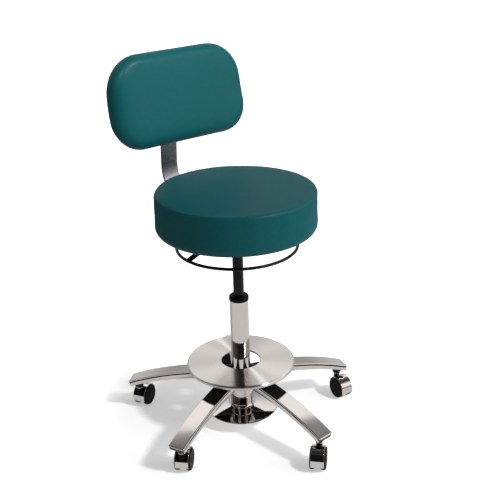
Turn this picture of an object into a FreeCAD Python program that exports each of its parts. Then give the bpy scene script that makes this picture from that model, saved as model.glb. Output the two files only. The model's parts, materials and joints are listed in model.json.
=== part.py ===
import FreeCAD, Part
import math
import os
import re
import Sketcher

Vector = FreeCAD.Vector
Rotation = FreeCAD.Rotation
Placement = FreeCAD.Placement

# Medical stool: round seat and backrest on a gas lift, foot disc and five-leg base on hooded casters.
# Floor at z = 0 under the column, +Z up, the sitter faces -Y, millimetres and degrees.

SIZES = {
    # Five-leg base
    "leg_turn": (-15.1, "direction of the first leg, from +X"),
    "leg_reach": (317, "column axis to leg tip"),
    "leg_width": (45, "width of the top plate of a leg"),
    "leg_arch": (760, "radius of the arched top of a leg"),
    "leg_apex": (31, "reach at which the arch is level"),
    "leg_crown": (145.5, "height of the arch at its level point"),
    "leg_skin": (3, "wall of a leg"),
    "leg_lip": (2.5, "overhang of the top plate past the side walls"),
    "leg_depth": (23, "top plate to lower edge of the side walls"),
    "leg_corner": (4, "rounding of the tip corners"),
    "boss_radius": (12, "caster socket under a leg"),
    "boss_foot": (68, "height of the lower end of the socket"),
    "stem_reach": (293, "column axis to caster swivel"),
    "hub_radius": (31, "lower hub"),
    "hub_flange": (40, "upper hub, where the legs are welded"),
    "hub_foot": (75, "height of the lower end of the hub"),
    "hub_step": (116, "height at which the hub widens"),
    "hub_top": (149, "height of the upper end of the hub"),
    "hub_chamfer": (2, "chamfers of the hub"),
    # Foot disc and bell
    "disc_radius": (143, "foot disc"),
    "disc_hole": (52, "hole round the column"),
    "disc_top": (180, "height of the foot disc"),
    "disc_sheet": (2, "sheet of the foot disc"),
    "disc_lip": (12, "depth of the rolled outer rim"),
    "disc_roll": (7, "radius of the rolled outer rim"),
    "disc_hem": (5, "depth of the turned-down hole edge"),
    "disc_fall": (2.5, "fall of the disc from hole to rim"),
    "post_reach": (88, "column axis to disc post"),
    "post_radius": (6, "disc post"),
    "post_foot": (134, "height of the lower end of a post"),
    "bell_radius": (96, "rim of the bell"),
    "bell_foot": (36, "height of the rim of the bell"),
    "bell_neck": (29.5, "neck of the bell"),
    "bell_waist": (46, "height at which the flare would meet the neck"),
    "bell_flare": (9, "radius of the flare"),
    "bell_sheet": (2.5, "wall of the bell"),
    # Column and gas lift
    "tube_radius": (25, "column tube"),
    "tube_wall": (2, "wall of the column tube"),
    "tube_foot": (66, "height of the lower end of the tube"),
    "tube_top": (357, "height of the upper end of the tube"),
    "collar_radius": (25.7, "collar of the guide bush"),
    "collar_rise": (13, "height of the collar above the tube"),
    "collar_round": (4, "rounding of the collar"),
    "bush_depth": (62, "guide bush inside the tube"),
    "cap_rise": (5, "end plate of the column tube"),
    "bearing_radius": (13, "thrust bearing under the rod"),
    "bearing_rise": (7, "thickness of the thrust bearing"),
    "rod_radius": (5, "piston rod"),
    "rod_tail": (61, "height of the lower end of the rod"),
    "rod_collar": (8, "radius of the shoulder on the rod"),
    "rod_shoulder": (4, "thickness of the shoulder on the rod"),
    "clip_radius": (9, "retaining clip on the rod"),
    "clip_rise": (1.5, "thickness of the retaining clip"),
    "cylinder_radius": (14, "gas cylinder"),
    "cylinder_wall": (2, "wall of the gas cylinder"),
    "cylinder_foot": (232, "height of the lower end of the cylinder"),
    "cylinder_head": (500, "height at which the gas space ends"),
    "gland_rise": (12, "seal and guide at the cylinder's lower end"),
    "piston_rise": (10, "thickness of the piston"),
    "taper_foot": (512, "height at which the cylinder's taper starts"),
    "taper_top": (545, "height of the cylinder's upper end"),
    "taper_tip": (13.2, "radius of the taper at the upper end"),
    "valve_radius": (3, "release pin"),
    "valve_rise": (4.5, "release pin above the cylinder"),
    "valve_depth": (15, "release pin inside the cylinder"),
    "fit_gap": (0.06, "radial gap of a running fit"),
    "seat_gap": (0.05, "gap between pieces that are fixed together"),
    "stack_gap": (0.2, "gap between faces that turn on each other"),
    # Seat
    "seat_radius": (203, "seat cushion"),
    "seat_base": (555, "height of the seat's underside"),
    "seat_rim": (658, "height of the upper edge of the cushion"),
    "seat_crown": (3.5, "rise of the cushion's middle above its edge"),
    "seat_edge": (13, "rounding of the upper edge"),
    "seat_tuck": (25, "rounding of the lower edge"),
    "seat_waist": (2.5, "draw-in of the cushion's side"),
    "board_radius": (165, "seat board"),
    "board_rise": (12, "thickness of the seat board"),
    # Seat plate and height release
    "plate_length": (160, "seat plate along X"),
    "plate_width": (144, "seat plate along Y"),
    "plate_sheet": (3, "sheet of the seat plate"),
    "plate_corner": (12, "rounding of the plate's corners"),
    "box_length": (100, "pressed box of the plate along X"),
    "box_width": (64, "pressed box of the plate along Y"),
    "box_foot": (527, "height of the underside of the box"),
    "socket_radius": (19, "taper socket"),
    "slot_width": (24, "slots for the release arms"),
    "slot_foot": (533, "height of the lower edge of the slots"),
    "plate_bolt_x": (66, "plate bolts from the middle, along X"),
    "plate_bolt_y": (58, "plate bolts from the middle, along Y"),
    "pivot_offset": (40, "release pivot from the column axis"),
    "pivot_height": (544, "height of the release pivot"),
    "pivot_radius": (3, "pivot pin"),
    "ring_radius": (153.5, "middle of the release ring's rod"),
    "ring_rod": (4, "radius of the release ring's rod"),
    "ring_height": (509, "height of the release ring"),
    "arm_width": (19, "release arm"),
    "arm_sheet": (3, "sheet of the release arm and rocker"),
    "arm_knee": (42, "column axis to the bend of an arm"),
    "rocker_foot": (550, "height of the underside of the rocker"),
    "rocker_width": (47, "rocker across its cheeks"),
    "cheek_foot": (538, "height of the lower edge of the cheeks"),
    "cheek_reach": (45, "column axis to the outer end of the cheeks"),
    "cheek_length": (53, "cheeks along X"),
    # Backrest
    "back_reach": (234, "column axis to middle of the back cushion"),
    "back_height": (856, "height of the middle of the back cushion"),
    "back_recline": (10.9, "lean of the back cushion"),
    "back_width": (396, "back cushion across"),
    "back_rise": (236, "back cushion from lower to upper edge"),
    "back_depth": (65, "thickness of the back cushion"),
    "back_corner": (76, "rounding of the lower corners of the back cushion"),
    "back_shoulder": (18, "further rounding of its upper corners"),
    "back_taper": (7, "half-width gained from top to bottom"),
    "panel_width": (300, "rear panel across"),
    "panel_rise": (140, "rear panel from lower to upper edge"),
    "panel_sheet": (12, "thickness of the rear panel"),
    "panel_corner": (45, "corner rounding of the rear panel"),
    "bar_width": (50, "flat bar across"),
    "bar_sheet": (6, "thickness of the flat bar"),
    "bar_tail": (78, "column axis to the front end of the bar"),
    "bar_reach": (286, "column axis to the front of the upright"),
    "bar_level": (700, "height at which the reach is taken"),
    "bar_lean": (3, "forward lean of the upright"),
    "bar_top": (884, "height of the upper end of the bar"),
    "bar_bend": (108, "inner bend radius of the bar"),
    "bar_bolt_first": (96, "column axis to the first bar bolt"),
    "bar_bolt_pitch": (29, "spacing of the bar bolts"),
    "wedge_foot": (816, "height of the lower edge of the bracket"),
    "wedge_top": (880, "height of the upper edge of the bracket"),
    "screw_low": (832, "height of the lower back screws"),
    "screw_high": (868, "height of the upper back screws"),
    "screw_half": (13, "back screws from the middle"),
    "screw_bite": (9, "depth of the back screws in the panel"),
    "bolt_radius": (3, "plate bolts and back screws"),
    "bolt_head": (6, "heads of the plate bolts and back screws"),
    "head_rise": (3.5, "thickness of the bolt heads"),
    "bolt_bite": (9, "depth of the bolts in the seat board"),
    "bar_bolt": (4, "bar bolts"),
    "bar_bolt_head": (7, "heads of the bar bolts"),
    # Casters
    "trail": (22, "caster swivel to wheel axle"),
    "wheel_radius": (29, "caster wheel"),
    "wheel_width": (12, "caster wheel across the tread"),
    "wheel_inner": (8.5, "middle of a caster to the inner face of a wheel"),
    "wheel_round": (2.5, "rounding of the tread"),
    "wheel_dish": (21, "radius of the dished wheel face"),
    "wheel_sink": (1.8, "depth of the dished wheel face"),
    "wheel_hub": (8, "hub of a wheel"),
    "axle_radius": (4, "caster axle"),
    "axle_half": (19.5, "middle of a caster to the end of its axle"),
    "hood_radius": (32, "hood round the wheels"),
    "hood_sheet": (1.7, "wall of the hood"),
    "hood_width": (34, "hood across"),
    "hood_foot": (20.5, "height of the hood's lower edge"),
    "hood_web": (14, "rib between the wheels"),
    "neck_radius": (8, "swivel neck of the hood"),
    "neck_foot": (34, "height of the lower end of the neck"),
    "neck_top": (62, "height of the upper end of the neck"),
    "stem_radius": (5.5, "caster stem"),
    "stem_foot": (36, "height of the lower end of the stem"),
    "stem_top": (91, "height of the upper end of the stem"),
    "stem_flange": (9, "washer on the stem"),
    "stem_washer": (2.5, "thickness of the washer on the stem"),
}

LEG_COUNT = 5
# Way that each caster trails, from +X, in the order of the legs
TRAIL_TURNS = (261.0, 130.0, 27.0, 42.0, 221.0)
LEFT, RIGHT = 1, -1

doc = FreeCAD.newDocument("medical_stool")
sheet = doc.addObject("Spreadsheet::Sheet", "Sizes")
for row, (alias, (amount, note)) in enumerate(SIZES.items(), start=1):
    sheet.set(f"A{row}", alias)
    sheet.set(f"B{row}", str(amount))
    sheet.set(f"C{row}", note)
    sheet.setAlias(f"B{row}", alias)
doc.recompute()

nodes = []


# Formulas on the sheet

def cell(formula):
    """Formula with each size word replaced by its cell on the sheet."""
    return re.sub(r"[a-z_]+", lambda word: "Sizes." + word[0] if word[0] in SIZES else word[0], str(formula))


def number(formula):
    """Value of a formula in millimetres or degrees."""
    return float(sheet.evalExpression(cell(formula)))


def bind(item, **formulas):
    """Tie properties of a document object to formulas."""
    for name, formula in formulas.items():
        item.setExpression(name, cell(formula))
    return item


def node(item):
    """Keep a finished sub-part for export."""
    nodes.append(item)
    return item


# Sketches

def sketch_on(body, plane, offset=None):
    """Sketch on one of a body's own origin planes, lifted along the plane's normal."""
    sketch = body.newObject("Sketcher::SketchObject", body.Label + "_sketch")
    support = next(item for item in body.Origin.OriginFeatures if item.Role == plane)
    sketch.AttachmentSupport = [(support, "")]
    sketch.MapMode = "FlatFace"
    if offset is not None:
        sketch.setExpression("AttachmentOffset.Base.z", cell(offset))
    return sketch


def pin(sketch, geometry, point, x, y):
    """Dimension a sketch point from the sketch origin."""
    for kind, formula in (("DistanceX", x), ("DistanceY", y)):
        rule = Sketcher.Constraint(kind, -1, 1, geometry, point, number(formula))
        index = sketch.addConstraint(rule)
        sketch.setExpression(f"Constraints[{index}]", cell(formula))


def bind_radius(sketch, geometry, radius):
    """Dimension a sketch arc or circle."""
    index = sketch.addConstraint(Sketcher.Constraint("Radius", geometry, number(radius)))
    sketch.setExpression(f"Constraints[{index}]", cell(radius))


def arc_between(start, end, radius, side):
    """Arc under a half circle that bulges to one side of the way from start to end."""
    chord = end - start
    half = chord.Length / 2
    sag = radius - math.sqrt(radius * radius - half * half)
    across = Vector(-chord.y, chord.x, 0).normalize() * side
    return Part.Arc(start, start + chord / 2 + across * sag, end)


def outline(sketch, corners):
    """Closed loop through corners (x, y) or, where an arc leaves the corner, (x, y, radius, side)."""
    places = [Vector(number(corner[0]), number(corner[1]), 0) for corner in corners]
    first = sketch.GeometryCount
    ends = []
    for index, corner in enumerate(corners):
        start = places[index]
        end = places[(index + 1) % len(corners)]
        if len(corner) == 2:
            sketch.addGeometry(Part.LineSegment(start, end), False)
            ends.append((1, 2))
            continue
        radius, side = corner[2], corner[3]
        clockwise = side == LEFT
        if clockwise:
            start, end = end, start
        curve = arc_between(start, end, number(radius), -1)
        sketch.addGeometry(curve, False)
        ends.append((2, 1) if clockwise else (1, 2))
    for index, corner in enumerate(corners):
        following = (index + 1) % len(corners)
        rule = ("Coincident", first + index, ends[index][1], first + following, ends[following][0])
        sketch.addConstraint(Sketcher.Constraint(*rule))
    for index, corner in enumerate(corners):
        pin(sketch, first + index, ends[index][0], corner[0], corner[1])
        if len(corner) == 4:
            bind_radius(sketch, first + index, corner[2])
    return sketch


def circle(sketch, x, y, radius):
    """Dimensioned circle."""
    centre = Vector(number(x), number(y), 0)
    index = sketch.addGeometry(Part.Circle(centre, Vector(0, 0, 1), number(radius)), False)
    pin(sketch, index, 3, x, y)
    bind_radius(sketch, index, radius)
    return sketch


def rectangle(sketch, left, right, low, high):
    """Dimensioned upright rectangle."""
    return outline(sketch, [(left, low), (right, low), (right, high), (left, high)])


def oblong(sketch, half_low, half_high, half_rise, corner, shoulder="0"):
    """Rounded four-sided loop about the sketch origin, wider and less rounded at its lower end."""
    low, high = f"-({half_rise})", half_rise
    upper = f"{corner} + {shoulder}"
    inner_low, inner_high = f"{low} + ({corner})", f"{high} - ({upper})"
    return outline(sketch, [
        (f"-({half_low}) + ({corner})", low),
        (f"({half_low}) - ({corner})", low, corner, RIGHT),
        (half_low, inner_low),
        (half_high, inner_high, upper, RIGHT),
        (f"({half_high}) - ({upper})", high),
        (f"-({half_high}) + ({upper})", high, upper, RIGHT),
        (f"-({half_high})", inner_high),
        (f"-({half_low})", inner_low, corner, RIGHT),
    ])


# Solid features

def new_body(label):
    """Empty body of a sub-part."""
    return doc.addObject("PartDesign::Body", label)


def pad(body, sketch, length, midplane=False):
    """Material raised from a sketch."""
    feature = body.newObject("PartDesign::Pad", body.Label + "_pad")
    feature.Profile = sketch
    feature.Midplane = midplane
    return bind(feature, Length=length)


def pocket(body, sketch, length, midplane=False, reverse=False):
    """Material cut from a sketch; a pocket that removes nothing is an error."""
    doc.recompute()
    before = body.Shape.Volume
    feature = body.newObject("PartDesign::Pocket", body.Label + "_pocket")
    feature.Profile = sketch
    feature.Midplane = midplane
    feature.Reversed = reverse
    bind(feature, Length=length)
    doc.recompute()
    if body.Shape.Volume >= before:
        raise ValueError(f"{feature.Label} cuts nothing")
    return feature


def rounded(body, radius, chosen):
    """Fillet on the edges that a test chooses."""
    doc.recompute()
    base = body.Tip
    names = [f"Edge{index}" for index, edge in enumerate(base.Shape.Edges, start=1) if chosen(edge)]
    feature = body.newObject("PartDesign::Fillet", body.Label + "_fillet")
    feature.Base = (base, names)
    return bind(feature, Radius=radius)


def turned(label, corners):
    """Body turned about Z from an outline of reach and height."""
    body = new_body(label)
    sketch = outline(sketch_on(body, "XZ_Plane"), corners)
    turn = body.newObject("PartDesign::Revolution", label + "_turn")
    turn.Profile = sketch
    turn.ReferenceAxis = (sketch, ["V_Axis"])
    turn.Angle = 360
    return body


def ring_of(inner, outer, low, high):
    """Corners of a plain ring."""
    return [(inner, low), (outer, low), (outer, high), (inner, high)]


def around_z(angle, reach=0.0, height=0.0):
    """Placement turned about Z and moved out along the turned X axis."""
    turn = Rotation(Vector(0, 0, 1), angle)
    return Placement(turn.multVec(Vector(reach, 0, height)), turn)


def group(label, members):
    """Separate solids kept as one sub-part."""
    gathered = doc.addObject("Part::Compound", label)
    gathered.Links = members
    return node(gathered)


def rod(radius, length, place):
    """Plain round rod along its own Z."""
    item = bind(doc.addObject("Part::Cylinder", "rod"), Radius=radius, Height=length)
    item.Placement = place
    return item


def bolt(place, radius, head, head_rise, shank_length):
    """Bolt with its head below its own origin and its shank above."""
    top = rod(head, head_rise, place.multiply(Placement(Vector(0, 0, -number(head_rise)), Rotation())))
    shank = rod(radius, shank_length, place)
    whole = doc.addObject("Part::MultiFuse", "bolt")
    whole.Shapes = [top, shank]
    return whole


# Five-leg base

def arch_height(radius, reach):
    """Height of an arch of the leg's centre at a reach."""
    return f"leg_crown - leg_arch + sqrt(({radius})^2 - ({reach} - leg_apex)^2)"


def arch_band(sketch, near, far, upper, lower):
    """Side view of a strip of a leg between two arcs about the arch centre."""
    return outline(sketch, [
        (far, arch_height(lower, far), lower, RIGHT),
        (near, arch_height(lower, near)),
        (near, arch_height(upper, near), upper, LEFT),
        (far, arch_height(upper, far)),
    ])


def leg(label, turn):
    """Arched channel with an overhanging top plate and a caster socket."""
    body = new_body(label)
    near = "hub_flange - 14"
    plate = arch_band(sketch_on(body, "XZ_Plane"), near, "leg_reach", "leg_arch", "leg_arch - leg_skin")
    pad(body, plate, "leg_width", midplane=True)
    wall_end = "leg_reach - leg_lip"
    walls = arch_band(sketch_on(body, "XZ_Plane"), near, wall_end, "leg_arch - leg_skin / 2",
                      "leg_arch - leg_depth")
    pad(body, walls, "leg_width - 2 * leg_lip", midplane=True)
    channel = arch_band(sketch_on(body, "XZ_Plane"), "hub_flange - 16", wall_end + " - leg_skin",
                        "leg_arch - leg_skin", "leg_arch - leg_depth - 9")
    pocket(body, channel, "leg_width - 2 * (leg_lip + leg_skin)", midplane=True)
    socket = circle(sketch_on(body, "XY_Plane", "boss_foot"), "stem_reach", "0", "boss_radius")
    pad(body, socket, "leg_crown - boss_foot - 38")
    above = arch_band(sketch_on(body, "XZ_Plane"), near, "leg_reach + 2", "leg_arch + 30", "leg_arch")
    pocket(body, above, "leg_width", midplane=True)
    bore = circle(sketch_on(body, "XY_Plane", "boss_foot"), "stem_reach", "0", "stem_radius + seat_gap")
    pocket(body, bore, "stem_top - boss_foot + 0.5", reverse=True)
    root = circle(sketch_on(body, "XY_Plane"), "0", "0", "hub_flange + seat_gap")
    pocket(body, root, "3 * leg_crown", midplane=True)
    post_hole = circle(sketch_on(body, "XY_Plane"), "post_reach", "0", "post_radius + seat_gap")
    pocket(body, post_hole, "3 * leg_crown", midplane=True)
    tip = number("leg_reach")
    plate_low = number(arch_height("leg_arch - leg_skin", "leg_reach"))
    half = number("leg_width / 2")

    def tip_corner(edge):
        middle = edge.CenterOfMass
        upright = abs(middle.x - tip) < 0.1 and abs(abs(middle.y) - half) < 0.1
        return upright and middle.z > plate_low and edge.Length < 2 * number("leg_skin")

    rounded(body, "leg_corner", tip_corner)
    body.Placement = around_z(turn)
    return node(body)


def leg_turn(index):
    """Direction of a leg."""
    return number("leg_turn") + index * 360 / LEG_COUNT


for index in range(LEG_COUNT):
    leg(f"leg_{index + 1}", leg_turn(index))

node(turned("hub", [
    ("tube_radius + seat_gap", "hub_foot"),
    ("hub_radius - hub_chamfer", "hub_foot"),
    ("hub_radius", "hub_foot + hub_chamfer"),
    ("hub_radius", "hub_step - 6"),
    ("hub_flange", "hub_step"),
    ("hub_flange", "hub_top - hub_chamfer"),
    ("hub_flange - hub_chamfer", "hub_top"),
    ("tube_radius + seat_gap", "hub_top"),
]))

# Foot disc with a rolled rim, on posts that stand in the legs
node(turned("foot_disc", [
    ("disc_hole", "disc_top - disc_hem"),
    ("disc_hole + disc_sheet", "disc_top - disc_hem"),
    ("disc_hole + disc_sheet", "disc_top - disc_sheet - 0.1"),
    ("disc_radius - disc_roll", "disc_top - disc_fall - disc_sheet", "disc_roll - disc_sheet", LEFT),
    ("disc_radius - disc_sheet", "disc_top - disc_fall - disc_roll"),
    ("disc_radius - disc_sheet", "disc_top - disc_lip"),
    ("disc_radius", "disc_top - disc_lip"),
    ("disc_radius", "disc_top - disc_fall - disc_roll", "disc_roll", RIGHT),
    ("disc_radius - disc_roll", "disc_top - disc_fall"),
    ("disc_hole + disc_sheet", "disc_top", "disc_sheet", RIGHT),
    ("disc_hole", "disc_top - disc_sheet"),
]))

disc_slope = "(disc_fall - 0.1) / (disc_radius - disc_roll - disc_hole - disc_sheet)"
post_edge = "(post_reach + post_radius - disc_hole - disc_sheet)"
under_disc = f"disc_top - disc_sheet - 0.1 - {disc_slope} * {post_edge}"
posts = []
for index in range(LEG_COUNT):
    place = around_z(leg_turn(index), number("post_reach"), number("post_foot"))
    posts.append(rod("post_radius", under_disc + " - post_foot - 0.05", place))
group("disc_posts", posts)

# Bell under the hub: a straight neck that flares to a wide rim
bell = turned("bell_cover", [
    ("bell_neck - bell_sheet", "hub_foot"),
    ("bell_neck - bell_sheet", "bell_waist - bell_sheet"),
    ("bell_radius - bell_sheet", "bell_foot"),
    ("bell_radius", "bell_foot"),
    ("bell_radius", "bell_foot + bell_sheet"),
    ("bell_neck", "bell_waist"),
    ("bell_neck", "hub_foot"),
])


def ring_edge(reach, height):
    """Test for a circular edge about the column."""
    reach, height = number(reach), number(height)

    def chosen(edge):
        curve = edge.Curve
        if curve.TypeId != "Part::GeomCircle":
            return False
        return abs(curve.Radius - reach) < 0.01 and abs(curve.Center.z - height) < 0.01

    return chosen


rounded(bell, "bell_flare", ring_edge("bell_neck", "bell_waist"))
rounded(bell, "bell_flare + bell_sheet", ring_edge("bell_neck - bell_sheet", "bell_waist - bell_sheet"))
node(bell)

# Column tube, guide bush and the bearing that the gas lift stands on
node(turned("column_tube", ring_of("tube_radius - tube_wall", "tube_radius", "tube_foot", "tube_top")))
node(turned("column_bush", [
    ("cylinder_radius + fit_gap", "tube_top - bush_depth"),
    ("tube_radius - tube_wall - seat_gap", "tube_top - bush_depth"),
    ("tube_radius - tube_wall - seat_gap", "tube_top"),
    ("collar_radius", "tube_top"),
    ("collar_radius", "tube_top + collar_rise - collar_round", "collar_round", RIGHT),
    ("collar_radius - collar_round", "tube_top + collar_rise"),
    ("cylinder_radius + fit_gap", "tube_top + collar_rise"),
]))
bearing_foot = "tube_foot + cap_rise"
bearing_top = bearing_foot + " + bearing_rise"
node(turned("column_foot", ring_of("rod_radius + fit_gap", "tube_radius - tube_wall - seat_gap",
                                   "tube_foot", bearing_foot)))
node(turned("thrust_bearing", ring_of("rod_radius + fit_gap", "bearing_radius", bearing_foot, bearing_top)))

# Gas lift: rod, clip and piston below, cylinder, gland and release pin above
shoulder = bearing_top + " + stack_gap"
piston_foot = "cylinder_foot + gland_rise + 2"
node(turned("piston_rod", [
    ("0", "rod_tail"),
    ("rod_radius", "rod_tail"),
    ("rod_radius", shoulder),
    ("rod_collar", shoulder),
    ("rod_collar", shoulder + " + rod_shoulder"),
    ("rod_radius", shoulder + " + rod_shoulder"),
    ("rod_radius", piston_foot),
    ("0", piston_foot),
]))
clip_top = "tube_foot - stack_gap"
node(turned("retaining_clip", ring_of("rod_radius", "clip_radius", clip_top + " - clip_rise", clip_top)))
node(turned("piston", [
    ("0", piston_foot),
    ("cylinder_radius - cylinder_wall - fit_gap", piston_foot),
    ("cylinder_radius - cylinder_wall - fit_gap", piston_foot + " + piston_rise"),
    ("0", piston_foot + " + piston_rise"),
]))
gland_top = "cylinder_foot + gland_rise"
cylinder_bore = "cylinder_radius - cylinder_wall"
node(turned("cylinder_gland", ring_of("rod_radius + fit_gap", cylinder_bore, "cylinder_foot", gland_top)))
valve_bore = "valve_radius + fit_gap"
valve_foot = "taper_top - valve_depth"
node(turned("gas_cylinder", [
    (cylinder_bore, "cylinder_foot"),
    ("cylinder_radius", "cylinder_foot"),
    ("cylinder_radius", "taper_foot"),
    ("taper_tip", "taper_top"),
    (valve_bore, "taper_top"),
    (valve_bore, valve_foot + " - 5"),
    ("0", valve_foot + " - 5"),
    ("0", "cylinder_head"),
    (cylinder_bore, "cylinder_head"),
]))
node(turned("valve_pin", [
    ("0", valve_foot),
    ("valve_radius", valve_foot),
    ("valve_radius", "taper_top + valve_rise"),
    ("0", "taper_top + valve_rise"),
]))

# Seat plate with its pressed box, taper socket and pivot pin
node(turned("taper_socket", [
    ("cylinder_radius + seat_gap", "taper_foot"),
    ("socket_radius", "taper_foot"),
    ("socket_radius", "taper_top"),
    ("taper_tip + seat_gap", "taper_top"),
]))


def bolt_corners(x, y):
    """Four places about the middle."""
    return [(f"{a} * ({x})", f"{b} * ({y})") for a in (-1, 1) for b in (-1, 1)]


def seat_plate():
    """Pressed plate under the seat board with a box that holds the lift and the release."""
    body = new_body("seat_plate")
    flange = sketch_on(body, "XY_Plane", "seat_base - plate_sheet")
    oblong(flange, "plate_length / 2", "plate_length / 2", "plate_width / 2", "plate_corner")
    pad(body, flange, "plate_sheet")
    box = sketch_on(body, "XY_Plane", "box_foot")
    oblong(box, "box_length / 2", "box_length / 2", "box_width / 2", "plate_corner / 2")
    pad(body, box, "seat_base - box_foot - plate_sheet / 2")
    cavity = sketch_on(body, "XY_Plane", "seat_base")
    oblong(cavity, "box_length / 2 - plate_sheet", "box_length / 2 - plate_sheet",
           "box_width / 2 - plate_sheet", "plate_corner / 4")
    pocket(body, cavity, "seat_base - box_foot - plate_sheet")
    centre = circle(sketch_on(body, "XY_Plane", "box_foot"), "0", "0", "socket_radius + seat_gap")
    pocket(body, centre, "4 * plate_sheet", midplane=True)
    slots = sketch_on(body, "YZ_Plane")
    rectangle(slots, "-slot_width / 2", "slot_width / 2", "slot_foot", "seat_base - plate_sheet")
    pocket(body, slots, "2 * box_length", midplane=True)
    pivot = circle(sketch_on(body, "XZ_Plane"), "-pivot_offset", "pivot_height", "pivot_radius + seat_gap")
    pocket(body, pivot, "2 * box_width", midplane=True)
    holes = sketch_on(body, "XY_Plane", "seat_base")
    for x, y in bolt_corners("plate_bolt_x", "plate_bolt_y"):
        circle(holes, x, y, "bolt_radius + seat_gap")
    pocket(body, holes, "2 * plate_sheet", midplane=True)
    return node(body)


seat_plate()
pivot_end = Vector(-number("pivot_offset"), number("box_width / 2 + 1.5"), number("pivot_height"))
pivot_place = Placement(pivot_end, Rotation(Vector(1, 0, 0), 90))
pivot_pin = rod("pivot_radius", "box_width + 3", pivot_place)
pivot_pin.Label = "pivot_pin"
node(pivot_pin)


def release_lever():
    """Rocker with two sloping arms, welded to the ring that the hand lifts."""
    body = new_body("release_rocker")
    ring_low, ring_high = "ring_height - arm_sheet / 2", "ring_height + arm_sheet / 2"
    top = "rocker_foot + arm_sheet"
    arms = outline(sketch_on(body, "XZ_Plane"), [
        ("-ring_radius", ring_low),
        ("-arm_knee", "rocker_foot"),
        ("arm_knee", "rocker_foot"),
        ("ring_radius", ring_low),
        ("ring_radius", ring_high),
        ("arm_knee", top),
        ("-arm_knee", top),
        ("-ring_radius", ring_high),
    ])
    pad(body, arms, "arm_width", midplane=True)
    bridge = sketch_on(body, "XY_Plane", "rocker_foot")
    rectangle(bridge, "-arm_knee", "arm_knee", "-rocker_width / 2", "rocker_width / 2")
    pad(body, bridge, "arm_sheet")
    cheeks = sketch_on(body, "XY_Plane", "cheek_foot")
    cheek_inner = "rocker_width / 2 - arm_sheet"
    for low, high in ((cheek_inner, "rocker_width / 2"), ("-rocker_width / 2", f"-({cheek_inner})")):
        rectangle(cheeks, "-cheek_reach", "cheek_length - cheek_reach", low, high)
    pad(body, cheeks, "rocker_foot - cheek_foot + arm_sheet / 2")
    pivot = circle(sketch_on(body, "XZ_Plane"), "-pivot_offset", "pivot_height", "pivot_radius + fit_gap")
    pocket(body, pivot, "2 * rocker_width", midplane=True)
    ring = bind(doc.addObject("Part::Torus", "ring_rod"), Radius1="ring_radius", Radius2="ring_rod")
    ring.Placement = Placement(Vector(0, 0, number("ring_height")), Rotation())
    lever = doc.addObject("Part::MultiFuse", "release_ring")
    lever.Shapes = [body, ring]
    return node(lever)


release_lever()

# Seat board, cushion and their bolts
plate_bolts = bolt_corners("plate_bolt_x", "plate_bolt_y")
bar_bolts = [("0", f"bar_bolt_first + {index} * bar_bolt_pitch") for index in range(3)]


def seat_board():
    """Round board inside the cushion's underside, drilled for the bolts."""
    body = new_body("seat_board")
    pad(body, circle(sketch_on(body, "XY_Plane", "seat_base"), "0", "0", "board_radius"), "board_rise")
    holes = sketch_on(body, "XY_Plane", "seat_base")
    for x, y in plate_bolts:
        circle(holes, x, y, "bolt_radius + seat_gap")
    for x, y in bar_bolts:
        circle(holes, x, y, "bar_bolt + seat_gap")
    pocket(body, holes, "bolt_bite + 0.5", reverse=True)
    return node(body)


seat_board()
seat_shoulder = "seat_rim - seat_edge"
crown_radius = "((seat_radius - seat_edge)^2 + seat_crown^2) / (2 * seat_crown)"
side_chord = f"({seat_shoulder} - seat_base - seat_tuck)"
waist_radius = f"({side_chord}^2 / 4 + seat_waist^2) / (2 * seat_waist)"
node(turned("seat_cushion", [
    ("0", "seat_base + board_rise"),
    ("board_radius + seat_gap", "seat_base + board_rise"),
    ("board_radius + seat_gap", "seat_base"),
    ("seat_radius - seat_tuck", "seat_base", "seat_tuck", RIGHT),
    ("seat_radius", "seat_base + seat_tuck", waist_radius, LEFT),
    ("seat_radius", seat_shoulder, "seat_edge", RIGHT),
    ("seat_radius - seat_edge", "seat_rim", crown_radius, RIGHT),
    ("0", "seat_rim + seat_crown"),
]))


def place_on(x, y, z):
    """Placement at a point given by formulas."""
    return Placement(Vector(number(x), number(y), number(z)), Rotation())


plate_low = "seat_base - plate_sheet"
group("plate_bolts", [
    bolt(place_on(x, y, plate_low), "bolt_radius", "bolt_head", "head_rise", "plate_sheet + bolt_bite")
    for x, y in plate_bolts
])
bar_low = "seat_base - bar_sheet"
group("bar_bolts", [
    bolt(place_on(x, y, bar_low), "bar_bolt", "bar_bolt_head", "head_rise", "bar_sheet + bolt_bite")
    for x, y in bar_bolts
])


# Backrest: bent flat bar, wedge bracket, rear panel and cushion

def bar_front(height):
    """Reach of the front face of the bar's upright at a height."""
    return f"bar_reach - ({height} - bar_level) * tan(bar_lean)"


def bar_rear(height):
    """Reach of the rear face of the bar's upright at a height."""
    return f"{bar_front(height)} + bar_sheet / cos(bar_lean)"


def pad_rear(height):
    """Reach of the back cushion's rear face at a height."""
    middle = "back_reach + back_depth / 2 * cos(back_recline)"
    level = "(back_height - back_depth / 2 * sin(back_recline))"
    return f"{middle} + ({height} - {level}) * tan(back_recline)"


screw_places = [(side, height) for side in (-1, 1) for height in ("screw_low", "screw_high")]


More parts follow.
